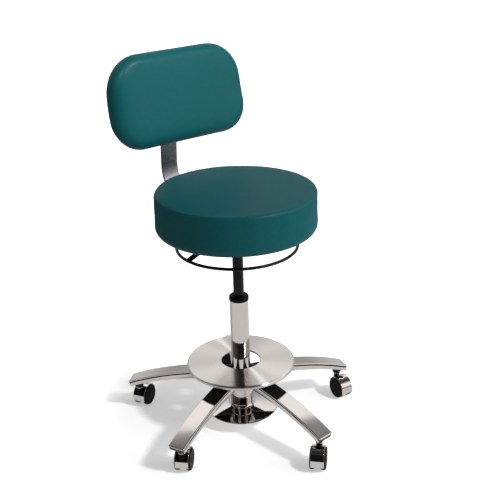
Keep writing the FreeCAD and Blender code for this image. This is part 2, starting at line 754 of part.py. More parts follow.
def back_bar():
    """Flat bar that runs under the seat and bends up behind it."""
    body = new_body("back_bar")
    profile = outline(sketch_on(body, "YZ_Plane"), [
        ("bar_tail", bar_low),
        (bar_rear(bar_low), bar_low),
        (bar_rear("bar_top"), "bar_top"),
        (bar_front("bar_top"), "bar_top"),
        (bar_front("seat_base"), "seat_base"),
        ("bar_tail", "seat_base"),
    ])
    pad(body, profile, "bar_width", midplane=True)

    def bend_at(reach, height):
        corner = Vector(0, number(reach), number(height))
        return lambda edge: (edge.CenterOfMass - corner).Length < 0.1

    rounded(body, "bar_bend + bar_sheet", bend_at(bar_rear(bar_low), bar_low))
    rounded(body, "bar_bend", bend_at(bar_front("seat_base"), "seat_base"))
    holes = sketch_on(body, "XY_Plane", "seat_base")
    for x, y in bar_bolts:
        circle(holes, x, y, "bar_bolt + seat_gap")
    pocket(body, holes, "4 * bar_sheet", midplane=True)
    screws = sketch_on(body, "XZ_Plane")
    for side, height in screw_places:
        circle(screws, f"{side} * screw_half", height, "bolt_radius + seat_gap")
    pocket(body, screws, "4 * bar_reach", midplane=True)
    return node(body)


def back_bracket():
    """Wedge that leans the cushion back from the bar."""
    body = new_body("back_bracket")
    profile = outline(sketch_on(body, "YZ_Plane"), [
        (pad_rear("wedge_foot"), "wedge_foot"),
        (bar_front("wedge_foot"), "wedge_foot"),
        (bar_front("wedge_top"), "wedge_top"),
        (pad_rear("wedge_top"), "wedge_top"),
    ])
    pad(body, profile, "bar_width", midplane=True)
    screws = sketch_on(body, "XZ_Plane")
    for side, height in screw_places:
        circle(screws, f"{side} * screw_half", height, "bolt_radius + seat_gap")
    pocket(body, screws, "4 * bar_reach", midplane=True)
    return node(body)


def back_place():
    """Frame of the back cushion: its own Z points at the sitter."""
    middle = Vector(0, number("back_reach"), number("back_height"))
    return Placement(middle, Rotation(Vector(1, 0, 0), 90 - number("back_recline")))


def back_screw_rod(side, height, radius, start, end):
    """Rod along Y between two reaches at a back screw."""
    base = Vector(number(f"{side} * screw_half"), number(start), number(height))
    return rod(radius, f"{start} - ({end})", Placement(base, Rotation(Vector(1, 0, 0), 90)))


def back_panel():
    """Rear panel that closes the cushion and takes the screws."""
    body = new_body("panel_blank")
    sketch = sketch_on(body, "XY_Plane", "-back_depth / 2")
    oblong(sketch, "panel_width / 2", "panel_width / 2", "panel_rise / 2", "panel_corner")
    pad(body, sketch, "panel_sheet")
    body.Placement = back_place()
    tools = doc.addObject("Part::Compound", "panel_holes")
    tools.Links = [
        back_screw_rod(side, height, "bolt_radius + seat_gap", pad_rear(height) + " + 4",
                       pad_rear(height) + " - screw_bite - 0.5")
        for side, height in screw_places
    ]
    panel = doc.addObject("Part::Cut", "back_panel")
    panel.Base = body
    panel.Tool = tools
    return node(panel)


# Depth from the middle, inset of the outline and rounding at each section of the back cushion
BACK_SECTIONS = (
    ("-back_depth / 2", "24", "back_corner - 24"),
    ("-back_depth * 0.42", "13", "back_corner - 13"),
    ("-back_depth * 0.2", "4", "back_corner - 4"),
    ("back_depth * 0.12", "0", "back_corner"),
    ("back_depth * 0.3", "3", "back_corner - 3"),
    ("back_depth * 0.43", "15", "back_corner - 15"),
    ("back_depth / 2", "48", "back_corner - 44"),
)


def back_cushion():
    """Crowned cushion lofted through rounded sections, recessed for the rear panel."""
    body = new_body("back_cushion")
    sections = []
    for depth, inset, corner in BACK_SECTIONS:
        section = sketch_on(body, "XY_Plane", depth)
        half = f"back_width / 2 - {inset}"
        low, high = f"{half} + back_taper / 2", f"{half} - back_taper / 2"
        oblong(section, low, high, f"back_rise / 2 - {inset}", corner, "back_shoulder")
        sections.append(section)
    loft = body.newObject("PartDesign::AdditiveLoft", "back_cushion_loft")
    loft.Profile = sections[0]
    loft.Sections = sections[1:]
    recess = sketch_on(body, "XY_Plane", "-back_depth / 2")
    half = "panel_width / 2 + seat_gap"
    oblong(recess, half, half, "panel_rise / 2 + seat_gap", "panel_corner")
    pocket(body, recess, "panel_sheet", reverse=True)
    body.Placement = back_place()
    return node(body)


back_bar()
back_bracket()
back_panel()
back_cushion()
back_screws = []
for side, height in screw_places:
    rear = bar_rear(height)
    shank = back_screw_rod(side, height, "bolt_radius", rear + " + 0.3", pad_rear(height) + " - screw_bite")
    head = back_screw_rod(side, height, "bolt_head", rear + " + 0.3 + head_rise", rear + " + 0.3")
    screw = doc.addObject("Part::MultiFuse", "back_screw")
    screw.Shapes = [shank, head]
    back_screws.append(screw)
group("back_screws", back_screws)


# Casters, each in its own frame: swivel on Z, wheels trailing along +X

def caster_stem(label):
    """Stem fixed in a leg's socket, with the washer that the hood turns under."""
    body = turned(label, [
        ("0", "stem_foot"),
        ("stem_radius", "stem_foot"),
        ("stem_radius", "neck_top + stack_gap"),
        ("stem_flange", "neck_top + stack_gap"),
        ("stem_flange", "neck_top + stack_gap + stem_washer"),
        ("stem_radius", "neck_top + stack_gap + stem_washer"),
        ("stem_radius", "stem_top"),
        ("0", "stem_top"),
    ])
    return body


def caster_hood(label):
    """Drum over both wheels, with the rib between them and the swivel neck."""
    body = new_body(label)
    drum = circle(sketch_on(body, "XZ_Plane"), "trail", "wheel_radius", "hood_radius")
    pad(body, drum, "hood_width", midplane=True)
    hollow = circle(sketch_on(body, "XZ_Plane"), "trail", "wheel_radius", "hood_radius - hood_sheet")
    pocket(body, hollow, "hood_width", midplane=True)
    rib = circle(sketch_on(body, "XZ_Plane"), "trail", "wheel_radius", "hood_radius - hood_sheet / 2")
    pad(body, rib, "hood_web", midplane=True)
    neck = circle(sketch_on(body, "XY_Plane", "neck_foot"), "0", "0", "neck_radius")
    pad(body, neck, "neck_top - neck_foot")
    mouth = sketch_on(body, "XZ_Plane")
    rectangle(mouth, "trail - 2 * hood_radius", "trail + 2 * hood_radius", "-hood_radius", "hood_foot")
    pocket(body, mouth, "2 * hood_width", midplane=True)
    bore = circle(sketch_on(body, "XY_Plane", "neck_top"), "0", "0", "stem_radius + fit_gap")
    pocket(body, bore, "neck_top - stem_foot + 1")
    axle_hole = circle(sketch_on(body, "XZ_Plane"), "trail", "wheel_radius", "axle_radius + seat_gap")
    pocket(body, axle_hole, "hood_width", midplane=True)
    return body


def wheel(label):
    """Wheel turned about its own Z, with its inner face at zero."""
    dish = "wheel_width - wheel_sink"
    return turned(label, [
        ("axle_radius + fit_gap", "0"),
        ("wheel_radius - wheel_round", "0", "wheel_round", RIGHT),
        ("wheel_radius", "wheel_round"),
        ("wheel_radius", "wheel_width - wheel_round", "wheel_round", RIGHT),
        ("wheel_radius - wheel_round", "wheel_width"),
        ("wheel_dish", "wheel_width"),
        ("wheel_dish - wheel_sink", dish),
        ("wheel_hub + wheel_sink", dish),
        ("wheel_hub", "wheel_width"),
        ("axle_radius + fit_gap", "wheel_width"),
    ])


for index in range(LEG_COUNT):
    name = index + 1
    turn = leg_turn(index)
    swivel = around_z(turn, number("stem_reach"))
    trailing = Placement(swivel.Base, Rotation(Vector(0, 0, 1), TRAIL_TURNS[index]))
    stem = node(caster_stem(f"caster_stem_{name}"))
    stem.Placement = swivel
    hood = node(caster_hood(f"caster_hood_{name}"))
    hood.Placement = trailing
    axle_end = Vector(number("trail"), number("axle_half"), number("wheel_radius"))
    across = Placement(axle_end, Rotation(Vector(1, 0, 0), 90))
    axle = rod("axle_radius", "2 * axle_half", trailing.multiply(across))
    axle.Label = f"caster_axle_{name}"
    node(axle)
    for side, way in (("left", 1), ("right", -1)):
        item = node(wheel(f"wheel_{side}_{name}"))
        inner = Vector(number("trail"), way * number("wheel_inner"), number("wheel_radius"))
        item.Placement = trailing.multiply(Placement(inner, Rotation(Vector(1, 0, 0), -90 * way)))

# Every object has to be sound before anything is written
doc.recompute()
for item in doc.Objects:
    if {"Invalid", "Error"} & set(item.State):
        raise RuntimeError(f"{item.Label} failed: {item.State}")
for item in nodes:
    if item.Shape.isNull() or not item.Shape.isValid():
        raise RuntimeError(f"{item.Label} has no valid shape")

os.makedirs("parts", exist_ok=True)
for item in nodes:
    item.Shape.exportStep(os.path.join("parts", item.Label + ".step"))
    print(f"{item.Label}: {len(item.Shape.Solids)} solid, {item.Shape.Volume / 1000:.1f} cm3")
print(f"{len(nodes)} sub-parts")
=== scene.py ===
"""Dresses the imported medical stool: vinyl cushions, polished and spun metal, casters and a studio."""

import json
import math
from functools import cache

import bmesh
import bpy
import numpy as np
from bpy.props import FloatProperty, FloatVectorProperty, IntProperty, PointerProperty, StringProperty
from mathutils import Matrix, Quaternion, Vector
from mathutils.bvhtree import BVHTree


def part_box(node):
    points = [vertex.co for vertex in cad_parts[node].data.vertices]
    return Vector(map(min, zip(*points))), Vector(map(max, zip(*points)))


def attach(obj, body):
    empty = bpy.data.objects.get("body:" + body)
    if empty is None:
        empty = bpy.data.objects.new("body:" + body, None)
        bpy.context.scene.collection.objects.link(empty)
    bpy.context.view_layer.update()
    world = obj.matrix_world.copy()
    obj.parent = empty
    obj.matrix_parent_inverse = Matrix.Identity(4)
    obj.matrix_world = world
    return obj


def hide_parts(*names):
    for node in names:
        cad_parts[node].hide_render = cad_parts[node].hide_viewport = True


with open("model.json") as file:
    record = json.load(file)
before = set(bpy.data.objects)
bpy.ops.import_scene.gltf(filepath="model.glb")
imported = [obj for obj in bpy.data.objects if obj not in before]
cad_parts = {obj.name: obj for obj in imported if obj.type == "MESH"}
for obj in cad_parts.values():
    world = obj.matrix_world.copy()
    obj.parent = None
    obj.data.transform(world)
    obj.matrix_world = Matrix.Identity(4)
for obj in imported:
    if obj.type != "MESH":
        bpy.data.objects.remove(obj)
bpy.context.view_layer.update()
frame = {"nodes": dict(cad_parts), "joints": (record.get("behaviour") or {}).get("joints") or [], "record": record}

bl_info = {
    "name": "Medical stool",
    "version": (1, 0, 0),
    "blender": (4, 5, 0),
    "location": "View3D > Sidebar > Stool",
    "description": "Cushions, metal finishes, casters and studio for a packed medical stool",
    "category": "Object",
}

NODES = frame["nodes"]
JOINTS = {joint["name"]: joint for joint in frame["joints"]}
BODY_OF = {node: body for body, members in frame["record"]["behaviour"]["bodies"].items() for node in members}
LEGS = range(1, 6)
UP = Vector((0, 0, 1))
WHOLE_TURN = 2 * math.pi

# Cloth simulation of the cushions
FOAM_PRESSURE = 4.0
CLOTH_FRAMES = 20
EVEN_ROUNDS = 24
WRINKLES_KEPT = 0.1

# Washer under a bolt head
WASHER_HEIGHT = 0.0012
WASHER_TO_HEAD = 1.35

# Brightness of the backdrop in reflections, by the height of the reflected ray
SKY = ((0.0, 0.40), (0.12, 0.54), (0.22, 0.48), (0.33, 0.36), (0.45, 0.60), (0.62, 0.95), (0.793, 1.0),
       (0.813, 0.85), (0.833, 0.28), (1.0, 0.15))


# Sizes read from the frame

def half_across(node):
    """Half the X size of a node that is centred on the column."""
    low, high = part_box(node)
    return (high.x - low.x) / 2


def joint_place(name):
    """Point that a joint turns about."""
    return Vector(JOINTS[name]["pos_m"])


SEAT_LOW, SEAT_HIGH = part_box("seat_cushion")
DISC_LOW, DISC_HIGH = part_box("foot_disc")
BELL_LOW, BELL_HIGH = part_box("bell_cover")
TUBE_LOW, TUBE_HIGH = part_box("column_tube")
BUSH_LOW, BUSH_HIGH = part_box("column_bush")
BAR_LOW, BAR_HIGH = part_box("back_bar")
RING_LOW, RING_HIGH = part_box("release_ring")


# Sizes and colours that a user would change

def metres(label, note, size):
    """Property for a length."""
    return FloatProperty(name=label, description=note, default=size, unit="LENGTH")


def degrees(label, note, size):
    """Property for an angle, given in degrees."""
    return FloatProperty(name=label, description=note, default=math.radians(size), subtype="ANGLE")


def number(label, note, size, **kind):
    """Property for a plain number or a share."""
    return FloatProperty(name=label, description=note, default=size, **kind)


def tint(label, note, value):
    """Property for a colour as an sRGB hex value."""
    return StringProperty(name=label, description=note, default=value)


class SeatSizes(bpy.types.PropertyGroup):
    """Round seat cushion."""

    radius: metres("Radius", "Seat cushion from its middle to its side", half_across("seat_cushion"))
    edge: metres("Upper edge", "Rounding of the upper edge", 0.0055)
    tuck: metres("Lower edge", "Rounding of the lower edge", 0.024)
    crown: metres("Crown", "Rise of the middle above the edge", 0.0016)
    waist: metres("Waist", "Draw-in of the side", 0.0035)
    swell: metres("Swell", "Furthest that the foam pushes the vinyl out", 0.003)
    proud: metres("Proud", "Furthest that the vinyl stands out from the frame's seat", 0.0012)
    voxel: metres("Cloth grid", "Spacing of the simulated points", 0.0044)
    seam: metres("Seam ridge", "Radius of the ridge where the panels meet", 0.0018)


class BackSizes(bpy.types.PropertyGroup):
    """Back cushion and its bar."""

    width: metres("Width", "Back cushion across", 0.396)
    rise: metres("Rise", "Back cushion from lower to upper edge", 0.236)
    depth: metres("Depth", "Thickness of the back cushion", 0.065)
    middle: FloatVectorProperty(name="Middle", description="Middle of the back cushion",
                                default=(0.0, 0.234, 0.856), subtype="TRANSLATION", unit="LENGTH")
    corner: metres("Corner", "Rounding of the lower corners", 0.076)
    shoulder: metres("Shoulder", "Further rounding of the upper corners", 0.018)
    taper: metres("Taper", "Half-width gained from top to bottom", 0.007)
    recline: degrees("Recline", "Lean of the back cushion", 10.9)
    swell: metres("Swell", "Furthest that the foam pushes the vinyl out", 0.003)
    voxel: metres("Cloth grid", "Spacing of the simulated points", 0.005)
    bar_width: metres("Bar width", "Flat bar across", half_across("back_bar") * 2)
    bar_sheet: metres("Bar thickness", "Thickness of the flat bar", 0.006)
    bar_bend: metres("Bar bend", "Bend radius at the middle of the bar", 0.111)
    bar_lean: degrees("Bar lean", "Forward lean of the upright", 3)
    bar_reach: metres("Bar reach", "Column axis to the front of the upright", 0.286)
    bar_level: metres("Bar level", "Height at which the reach is taken", 0.700)


class BaseSizes(bpy.types.PropertyGroup):
    """Legs, foot disc, bell and column."""

    leg_width: metres("Leg width", "Top plate of a leg across", 0.045)
    leg_arch: metres("Leg arch", "Radius of the arched top", 0.760)
    leg_apex: metres("Leg apex", "Reach at which the arch is level", 0.031)
    leg_reach: metres("Leg reach", "Column axis to leg tip", 0.317)
    leg_skin: metres("Leg wall", "Wall of the channel", 0.003)
    leg_hem: metres("Leg hem", "Depth of the top plate's folded edge", 0.0034)
    leg_bend: metres("Leg bend", "Rounding of the top plate's edge", 0.0028)
    # The groove shows dark because its faces get the black coat: painted shade
    leg_groove: metres("Leg groove", "Height of the dark groove under the top plate", 0.0036)
    leg_depth: metres("Leg depth", "Top plate to lower edge", 0.023)
    leg_thin: number("Leg thinning", "Share of the channel's wall lost at the tip", 0.42, subtype="FACTOR")
    leg_lip: metres("Leg lip", "Overhang of the top plate", 0.0010)
    leg_corner: metres("Leg corner", "Rounding of the tip corners", 0.004)
    disc_hole: metres("Disc hole", "Radius of the hole round the column", 0.052)
    disc_sheet: metres("Disc sheet", "Sheet of the foot disc", 0.002)
    disc_fall: metres("Disc fall", "Fall of the disc from hole to rim", 0.0025)
    disc_roll: metres("Disc roll", "Radius of the rolled rim", 0.0072)
    disc_hem: metres("Disc hem", "Depth of the turned-down hole edge", 0.005)
    tube_wall: metres("Tube wall", "Wall of the column and of the gas cylinder", 0.002)
    bell_neck: metres("Bell neck", "Radius of the bell's neck", 0.0295)
    bell_sheet: metres("Bell sheet", "Wall of the bell", 0.0025)
    bell_rise: metres("Bell rise", "Rim of the bell to the foot of its neck", 0.010)
    turn_steps: IntProperty(name="Turning steps", description="Sides of a turned piece", default=144)


class CasterSizes(bpy.types.PropertyGroup):
    """Twin-wheel casters."""

    wheel_radius: metres("Wheel", "Radius of a wheel", 0.029)
    wheel_width: metres("Wheel width", "Wheel across the tread", 0.012)
    wheel_inner: metres("Wheel gap", "Middle of a caster to a wheel", 0.0085)
    hood_radius: metres("Hood", "Radius of the drum over the wheels", 0.032)
    hood_sheet: metres("Hood sheet", "Wall of the drum", 0.0017)
    hood_width: metres("Hood width", "Drum across", 0.034)
    hood_foot: metres("Hood foot", "Height of the drum's lower edge", 0.0205)
    hood_web: metres("Hood rib", "Rib between the wheels", 0.014)
    neck_radius: metres("Neck", "Radius of the swivel neck", 0.008)
    neck_foot: metres("Neck foot", "Height of the neck's lower end", 0.038)
    neck_top: metres("Neck top", "Height of the neck's upper end", 0.0618)
    stem_bore: metres("Stem bore", "Radius of the hole for the stem", 0.0056)
    axle_bore: metres("Axle bore", "Radius of the hole for the axle", 0.0041)


class Finishes(bpy.types.PropertyGroup):
    """Colours as sRGB hex values."""

    vinyl: tint("Vinyl", "Teal of the upholstery", "#075155")
    vinyl_deep: tint("Vinyl, deep", "Darker teal in the grain", "#04484C")
    chrome: tint("Chrome", "Polished plating", "#C4BEBA")
    steel: tint("Spun steel", "Foot disc", "#DFD9D4")
    # This black is also painted shade inside the legs, in their grooves, under the foot disc and on the caster
    # necks
    black: tint("Black", "Powder coat and moulded pieces", "#0B0C0E")
    zinc: tint("Zinc", "Plated fasteners and stems", "#A9A9A6")


class StageSizes(bpy.types.PropertyGroup):
    """Camera and light."""

    distance: metres("Distance", "Column to camera, along the floor", 2.12784)
    height: metres("Height", "Camera above the floor", 1.37926)
    azimuth: degrees("Azimuth", "Camera round the column from the front", -37.5)
    pitch: degrees("Pitch", "View above the horizon", -22.583)
    yaw: degrees("Yaw", "View turned from the column", 0.865)
    roll: degrees("Roll", "Camera turned about its view", -1.464)
    lens: number("Lens", "Focal length on a 36 mm sensor", 65.22)
    ambient: number("Ambient", "Even light from all round", 0.22)
    key: number("Key", "Light from above the camera's right, which casts the shadow", 2.05)
    side: number("Side", "Broad soft light from the right", 1.6)
    shine: number("Shine", "Share of the side light that shiny surfaces show", 0.28, subtype="FACTOR")
    high: number("High", "Lamp above the camera, aimed at the back cushion", 36.0)


# Meshes

def new_object(name, mesh):
    """Object at the origin of the scene; a piece has its place in its mesh."""
    item = bpy.data.objects.new(name, mesh)
    bpy.context.scene.collection.objects.link(item)
    return item


def shaped(name, build, sharp=math.radians(32)):
    """Object with the mesh of a bmesh, smooth apart from its sharp edges."""
    bmesh.ops.remove_doubles(build, verts=build.verts, dist=1e-7)
    bmesh.ops.dissolve_degenerate(build, edges=build.edges, dist=1e-7)
    bmesh.ops.recalc_face_normals(build, faces=build.faces)
    mesh = bpy.data.meshes.new(name)
    build.to_mesh(mesh)
    build.free()
    mesh.shade_smooth()
    mesh.set_sharp_from_angle(angle=sharp)
    return new_object(name, mesh)


def evaluated_mesh(item):
    """Plain mesh of an object with its modifiers applied."""
    return bpy.data.meshes.new_from_object(item.evaluated_get(bpy.context.evaluated_depsgraph_get()))


def soft_loop(corners, steps=5, guard=0.0):
    """Closed loop of points from corners (x, y, rounding); guards keep long sides flat beside a rounding."""
    points = []
    count = len(corners)
    for index, (x, y, radius) in enumerate(corners):
        corner = Vector((x, y))
        before = Vector(corners[index - 1][:2]) - corner
        after = Vector(corners[(index + 1) % count][:2]) - corner
        half = before.angle(after) / 2
        if radius <= 0 or math.pi / 2 - half < 1e-4:
            points.append(corner)
            continue
        # A rounding takes at most about half of the shorter side
        trim = min(radius / math.tan(half), before.length * 0.49, after.length * 0.49)
        start = corner + before.normalized() * trim
        end = corner + after.normalized() * trim
        centre = corner + (before.normalized() + after.normalized()).normalized() * (trim / math.cos(half))
        turn = (start - centre).angle_signed(end - centre)
        if guard and before.length - 2 * trim > 3 * guard:
            points.append(start + before.normalized() * guard)
        for step in range(steps + 1):
            arm = (start - centre).copy()
            arm.rotate(Matrix.Rotation(-turn * step / steps, 2))
            points.append(centre + arm)
        if guard and after.length - 2 * trim > 3 * guard:
            points.append(end + after.normalized() * guard)
    return points


def skin(build, rings, closed):
    """Faces between rings of points; open ends are capped."""
    made = [[build.verts.new(point) for point in ring] for ring in rings]
    pairs = zip(made, made[1:] + made[:1]) if closed else zip(made, made[1:])
    for a, b in pairs:
        for index in range(len(a)):
            after = (index + 1) % len(a)
            build.faces.new((a[index], a[after], b[after], b[index]))
    if not closed:
        build.faces.new(made[0])
        build.faces.new(list(reversed(made[-1])))


def turn_loop(build, loop, steps, place=None, start=0.0, end=WHOLE_TURN):
    """Loop of (reach, height) points turned about Z, whole or through a sector."""
    whole = end - start > WHOLE_TURN - 1e-6
    count = steps if whole else max(2, round(steps * (end - start) / WHOLE_TURN))
    rings = []
    for step in range(count if whole else count + 1):
        angle = start + (end - start) * step / count
        ring = [Vector((p.x * math.cos(angle), p.x * math.sin(angle), p.y)) for p in loop]
        rings.append([place @ point for point in ring] if place else ring)
    skin(build, rings, whole)


def carried(loop, matrix):
    """Loop of (across, out) points in a frame."""
    return [matrix @ Vector((p[0], 0, p[1])) for p in loop]


def sweep_loop(build, loop, frames):
    """Loop of (across, out) points carried along frames given as matrices."""
    skin(build, [carried(loop, matrix) for matrix in frames], False)


def frame_at(place, across, along, out):
    """Matrix of three directions at a place."""
    matrix = Matrix((across, along, out)).transposed().to_4x4()
    matrix.translation = place
    return matrix


def dress(item, body, material, slot, *nodes):
    """Finish, body and CAD nodes of a piece."""
    item.data.materials.clear()
    item.data.materials.append(material)
    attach(item, body)
    if nodes:
        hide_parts(*nodes)
    return item


def turned(name, node, material, slot, corners, arc=6, guard=0.0006, steps=None, place=None):
    """Turned piece that stands for a node, from corners (reach, height, rounding)."""
    build = bmesh.new()
    turn_loop(build, soft_loop(corners, arc, guard), steps or bpy.context.scene.stool_base.turn_steps, place)
    return dress(shaped(name, build), BODY_OF[node], material, slot, node)


def shade_coat(item, material, covers):
    """Second, black finish that paints shade on the faces that a test picks."""
    item.data.materials.append(material)
    for face in item.data.polygons:
        face.material_index = 1 if covers(face) else 0


def coat(material, *nodes):
    """Material of CAD nodes that are shown as they are."""
    for node in nodes:
        item = NODES[node]
        item.data.materials.clear()
        item.data.materials.append(material)


# Materials

def linear(hex_colour):
    """sRGB hex value as a linear colour."""
    parts = [int(hex_colour[index:index + 2], 16) / 255 for index in (1, 3, 5)]
    return tuple(p / 12.92 if p <= 0.04045 else ((p + 0.055) / 1.055) ** 2.4 for p in parts) + (1.0,)


def per_mm(size):
    """Texture scale for a pattern of a size in millimetres on coordinates in metres."""
    return 1000.0 / size


def add(tree, kind, inputs=None, **settings):
    """Node with its settings, and with inputs that are values or other nodes' sockets."""
    node = tree.nodes.new(kind)
    for name, value in settings.items():
        setattr(node, name, value)
    for name, value in (inputs or {}).items():
        socket = node.inputs[name]
        if isinstance(value, bpy.types.NodeSocket):
            tree.links.new(value, socket)
        else:
            socket.default_value = value
    return node


def new_material(name):
    """Empty node material."""
    material = bpy.data.materials.new(name)
    material.use_nodes = True
    material.node_tree.nodes.clear()
    return material, material.node_tree


def finished(tree, pattern, tones, rough, inputs, worn=None):
    """Shader whose tone follows a pattern from 0 to 1, and whose roughness follows that one or another."""
    first, second = [linear(tone) for tone in tones]
    # Sockets 6 and 7 and output 2 are the mix's colours; its other kinds share their names
    colour = add(tree, "ShaderNodeMix", {0: pattern, 6: first, 7: second}, data_type="RGBA")
    inputs = {"Base Color": colour.outputs[2], **inputs}
    if rough:
        low, high = rough
        spread = add(tree, "ShaderNodeMapRange", {"Value": worn or pattern, "To Min": low, "To Max": high})
        inputs["Roughness"] = spread.outputs["Result"]
    shader = add(tree, "ShaderNodeBsdfPrincipled", inputs)
    add(tree, "ShaderNodeOutputMaterial", {"Surface": shader.outputs[0]})


@cache
def upholstery_vinyl():
    """Calendered vinyl: a fine pebbled grain under a thin satin skin, a little uneven in tone."""
    colours = bpy.context.scene.stool_finishes
    material, tree = new_material("upholstery_vinyl")
    place = add(tree, "ShaderNodeTexCoord").outputs["Object"]
    cloud = add(tree, "ShaderNodeTexNoise", {"Vector": place, "Scale": per_mm(11), "Detail": 4.0})
    grain = add(tree, "ShaderNodeTexVoronoi", {"Vector": place, "Scale": per_mm(1.6)}, feature="SMOOTH_F1")
    pores = add(tree, "ShaderNodeTexNoise", {"Vector": place, "Scale": per_mm(0.9), "Detail": 2.0})
    coarse = add(tree, "ShaderNodeBump", {"Height": grain.outputs["Distance"], "Strength": 0.25,
                                          "Distance": 0.0004})
    fine = add(tree, "ShaderNodeBump", {"Height": pores.outputs["Fac"], "Strength": 0.15, "Distance": 0.0003,
                                        "Normal": coarse.outputs["Normal"]})
    sheen = {"Specular IOR Level": 0.07, "Normal": fine.outputs["Normal"], "Coat Weight": 0.16,
             "Coat Roughness": 0.32}
    finished(tree, cloud.outputs["Fac"], (colours.vinyl_deep, colours.vinyl), (0.62, 0.74), sheen,
             pores.outputs["Fac"])
    return material


@cache
def polished_chrome():
    """Chromium plate on polished steel: a mirror with faint haze from wiping."""
    material, tree = new_material("polished_chrome")
    place = add(tree, "ShaderNodeTexCoord").outputs["Object"]
    haze = add(tree, "ShaderNodeTexNoise", {"Vector": place, "Scale": per_mm(35), "Detail": 4.0})
    tones = (bpy.context.scene.stool_finishes.chrome, "#BCB6B2")
    finished(tree, haze.outputs["Fac"], tones, (0.025, 0.07), {"Metallic": 1.0})
    return material


@cache
def satin_chrome():
    """Chromium plate on a steel bar brushed across: soft reflections without edges."""
    material, tree = new_material("satin_chrome")
    place = add(tree, "ShaderNodeTexCoord").outputs["Object"]
    # Brush marks are drawn 0.8 mm apart so that they show
    marks = add(tree, "ShaderNodeMapping", {"Vector": place, "Scale": (0.05, 1.0, 1.0)})
    brushed = add(tree, "ShaderNodeTexNoise", {"Vector": marks.outputs["Vector"], "Scale": per_mm(0.8),
                                               "Detail": 3.0})
    # Partly painted reflection: the purple cast in these greys stands for the purple-grey that the bar reflects;
    # the rest is the plating's own grey
    finished(tree, brushed.outputs["Fac"], ("#C2BCC2", "#A9A3A9"), (0.22, 0.34), {"Metallic": 1.0})
    return material


@cache
def spun_steel():
    """Stainless sheet brushed while it turned: rings that stretch each highlight into a fan."""
    material, tree = new_material("spun_stainless_steel")
    place = add(tree, "ShaderNodeTexCoord").outputs["Object"]
    flat = add(tree, "ShaderNodeVectorMath", {0: place, 1: (1.0, 1.0, 0.0)}, operation="MULTIPLY")
    reach = add(tree, "ShaderNodeVectorMath", {0: flat.outputs["Vector"]}, operation="LENGTH")
    # Brush marks are 0.1 mm apart, drawn ten times as coarse so that they show
    rings = add(tree, "ShaderNodeTexNoise", {"W": reach.outputs["Value"], "Scale": per_mm(1.0),
                                             "Detail": 3.0}, noise_dimensions="1D")
    tangent = add(tree, "ShaderNodeTangent", direction_type="RADIAL", axis="Z")
    tones = (bpy.context.scene.stool_finishes.steel, "#BDB7B2")
    brushing = {"Metallic": 1.0, "Anisotropic": 1.0, "Anisotropic Rotation": 0.25,
                "Tangent": tangent.outputs["Tangent"]}
    finished(tree, rings.outputs["Fac"], tones, (0.25, 0.32), brushing)
    return material


@cache
def powder_coat_and_shade():
    """Black powder coat: satin, with a faint orange-peel surface; the same black is also painted shade inside the
    legs, in their grooves and under the foot disc.
    """
    material, tree = new_material("black_powder_coat_and_shade")
    place = add(tree, "ShaderNodeTexCoord").outputs["Object"]
    peel = add(tree, "ShaderNodeTexNoise", {"Vector": place, "Scale": per_mm(1.2), "Detail": 2.0})
    bump = add(tree, "ShaderNodeBump", {"Height": peel.outputs["Fac"], "Strength": 0.10, "Distance": 0.0003})
    tones = (bpy.context.scene.stool_finishes.black, "#121316")
    finished(tree, peel.outputs["Fac"], tones, (0.30, 0.42),
             {"Specular IOR Level": 0.18, "Normal": bump.outputs["Normal"]})
    return material


@cache
def nylon_and_shade():
    """Black nylon from the mould: even, slightly soft gloss, with fine flow marks; the same black is also painted
    shade on the caster necks.
    """
    material, tree = new_material("moulded_black_nylon_and_shade")
    place = add(tree, "ShaderNodeTexCoord").outputs["Object"]
    flow = add(tree, "ShaderNodeTexNoise", {"Vector": place, "Scale": per_mm(6), "Detail": 5.0})
    tones = (bpy.context.scene.stool_finishes.black, "#070708")
    finished(tree, flow.outputs["Fac"], tones, (0.40, 0.55), {"Specular IOR Level": 0.06})
    return material


@cache
def zinc_plate():
    """Zinc plate on steel: a dull metal with pale spangle."""
    material, tree = new_material("zinc_plated_steel")
    place = add(tree, "ShaderNodeTexCoord").outputs["Object"]
    spangle = add(tree, "ShaderNodeTexVoronoi", {"Vector": place, "Scale": per_mm(3)})
    tones = (bpy.context.scene.stool_finishes.zinc, "#8E8E8A")
    finished(tree, spangle.outputs["Distance"], tones, (0.25, 0.42), {"Metallic": 1.0})
    return material


@cache
def dust_cloth():
    """Black non-woven dust cloth under the seat: matt fibres with a pressed dimple pattern."""
    material, tree = new_material("nonwoven_dust_cloth")
    place = add(tree, "ShaderNodeTexCoord").outputs["Object"]
    fibres = add(tree, "ShaderNodeTexNoise", {"Vector": place, "Scale": per_mm(2.5), "Detail": 6.0})
    dimples = add(tree, "ShaderNodeTexVoronoi", {"Vector": place, "Scale": per_mm(3.0), "Randomness": 0.0})
    bump = add(tree, "ShaderNodeBump", {"Height": dimples.outputs["Distance"], "Strength": 0.3,
                                        "Distance": 0.0006})
    finished(tree, fibres.outputs["Fac"], ("#101011", "#262729"), None,
             {"Roughness": 0.9, "Normal": bump.outputs["Normal"]})
    return material


# Cushions

def remeshed(item, voxel):
    """Gives a form an even closed mesh."""
    remesh = item.modifiers.new("even", "REMESH")
    remesh.mode = "VOXEL"
    remesh.voxel_size = voxel
    even = evaluated_mesh(item)
    item.modifiers.clear()
    item.data = even
    return item


def points_of(mesh):
    """Places of a mesh's points as an array."""
    return np.array([vertex.co[:] for vertex in mesh.vertices])


def set_points(mesh, points):
    """Moves a mesh's points to the places in an array."""
    mesh.vertices.foreach_set("co", points.astype(np.float32).ravel())
    mesh.update()


def evened(mesh, steps, rounds):
    """Averages each point's step with its neighbours' steps."""
    ends = np.array([edge.vertices[:] for edge in mesh.edges])
    count = np.bincount(ends.ravel(), minlength=len(steps))[:, None]
    for _ in range(rounds):
        total = steps.copy()
        np.add.at(total, ends[:, 0], steps[ends[:, 1]])
        np.add.at(total, ends[:, 1], steps[ends[:, 0]])
        steps = total / (count + 1)
    return steps


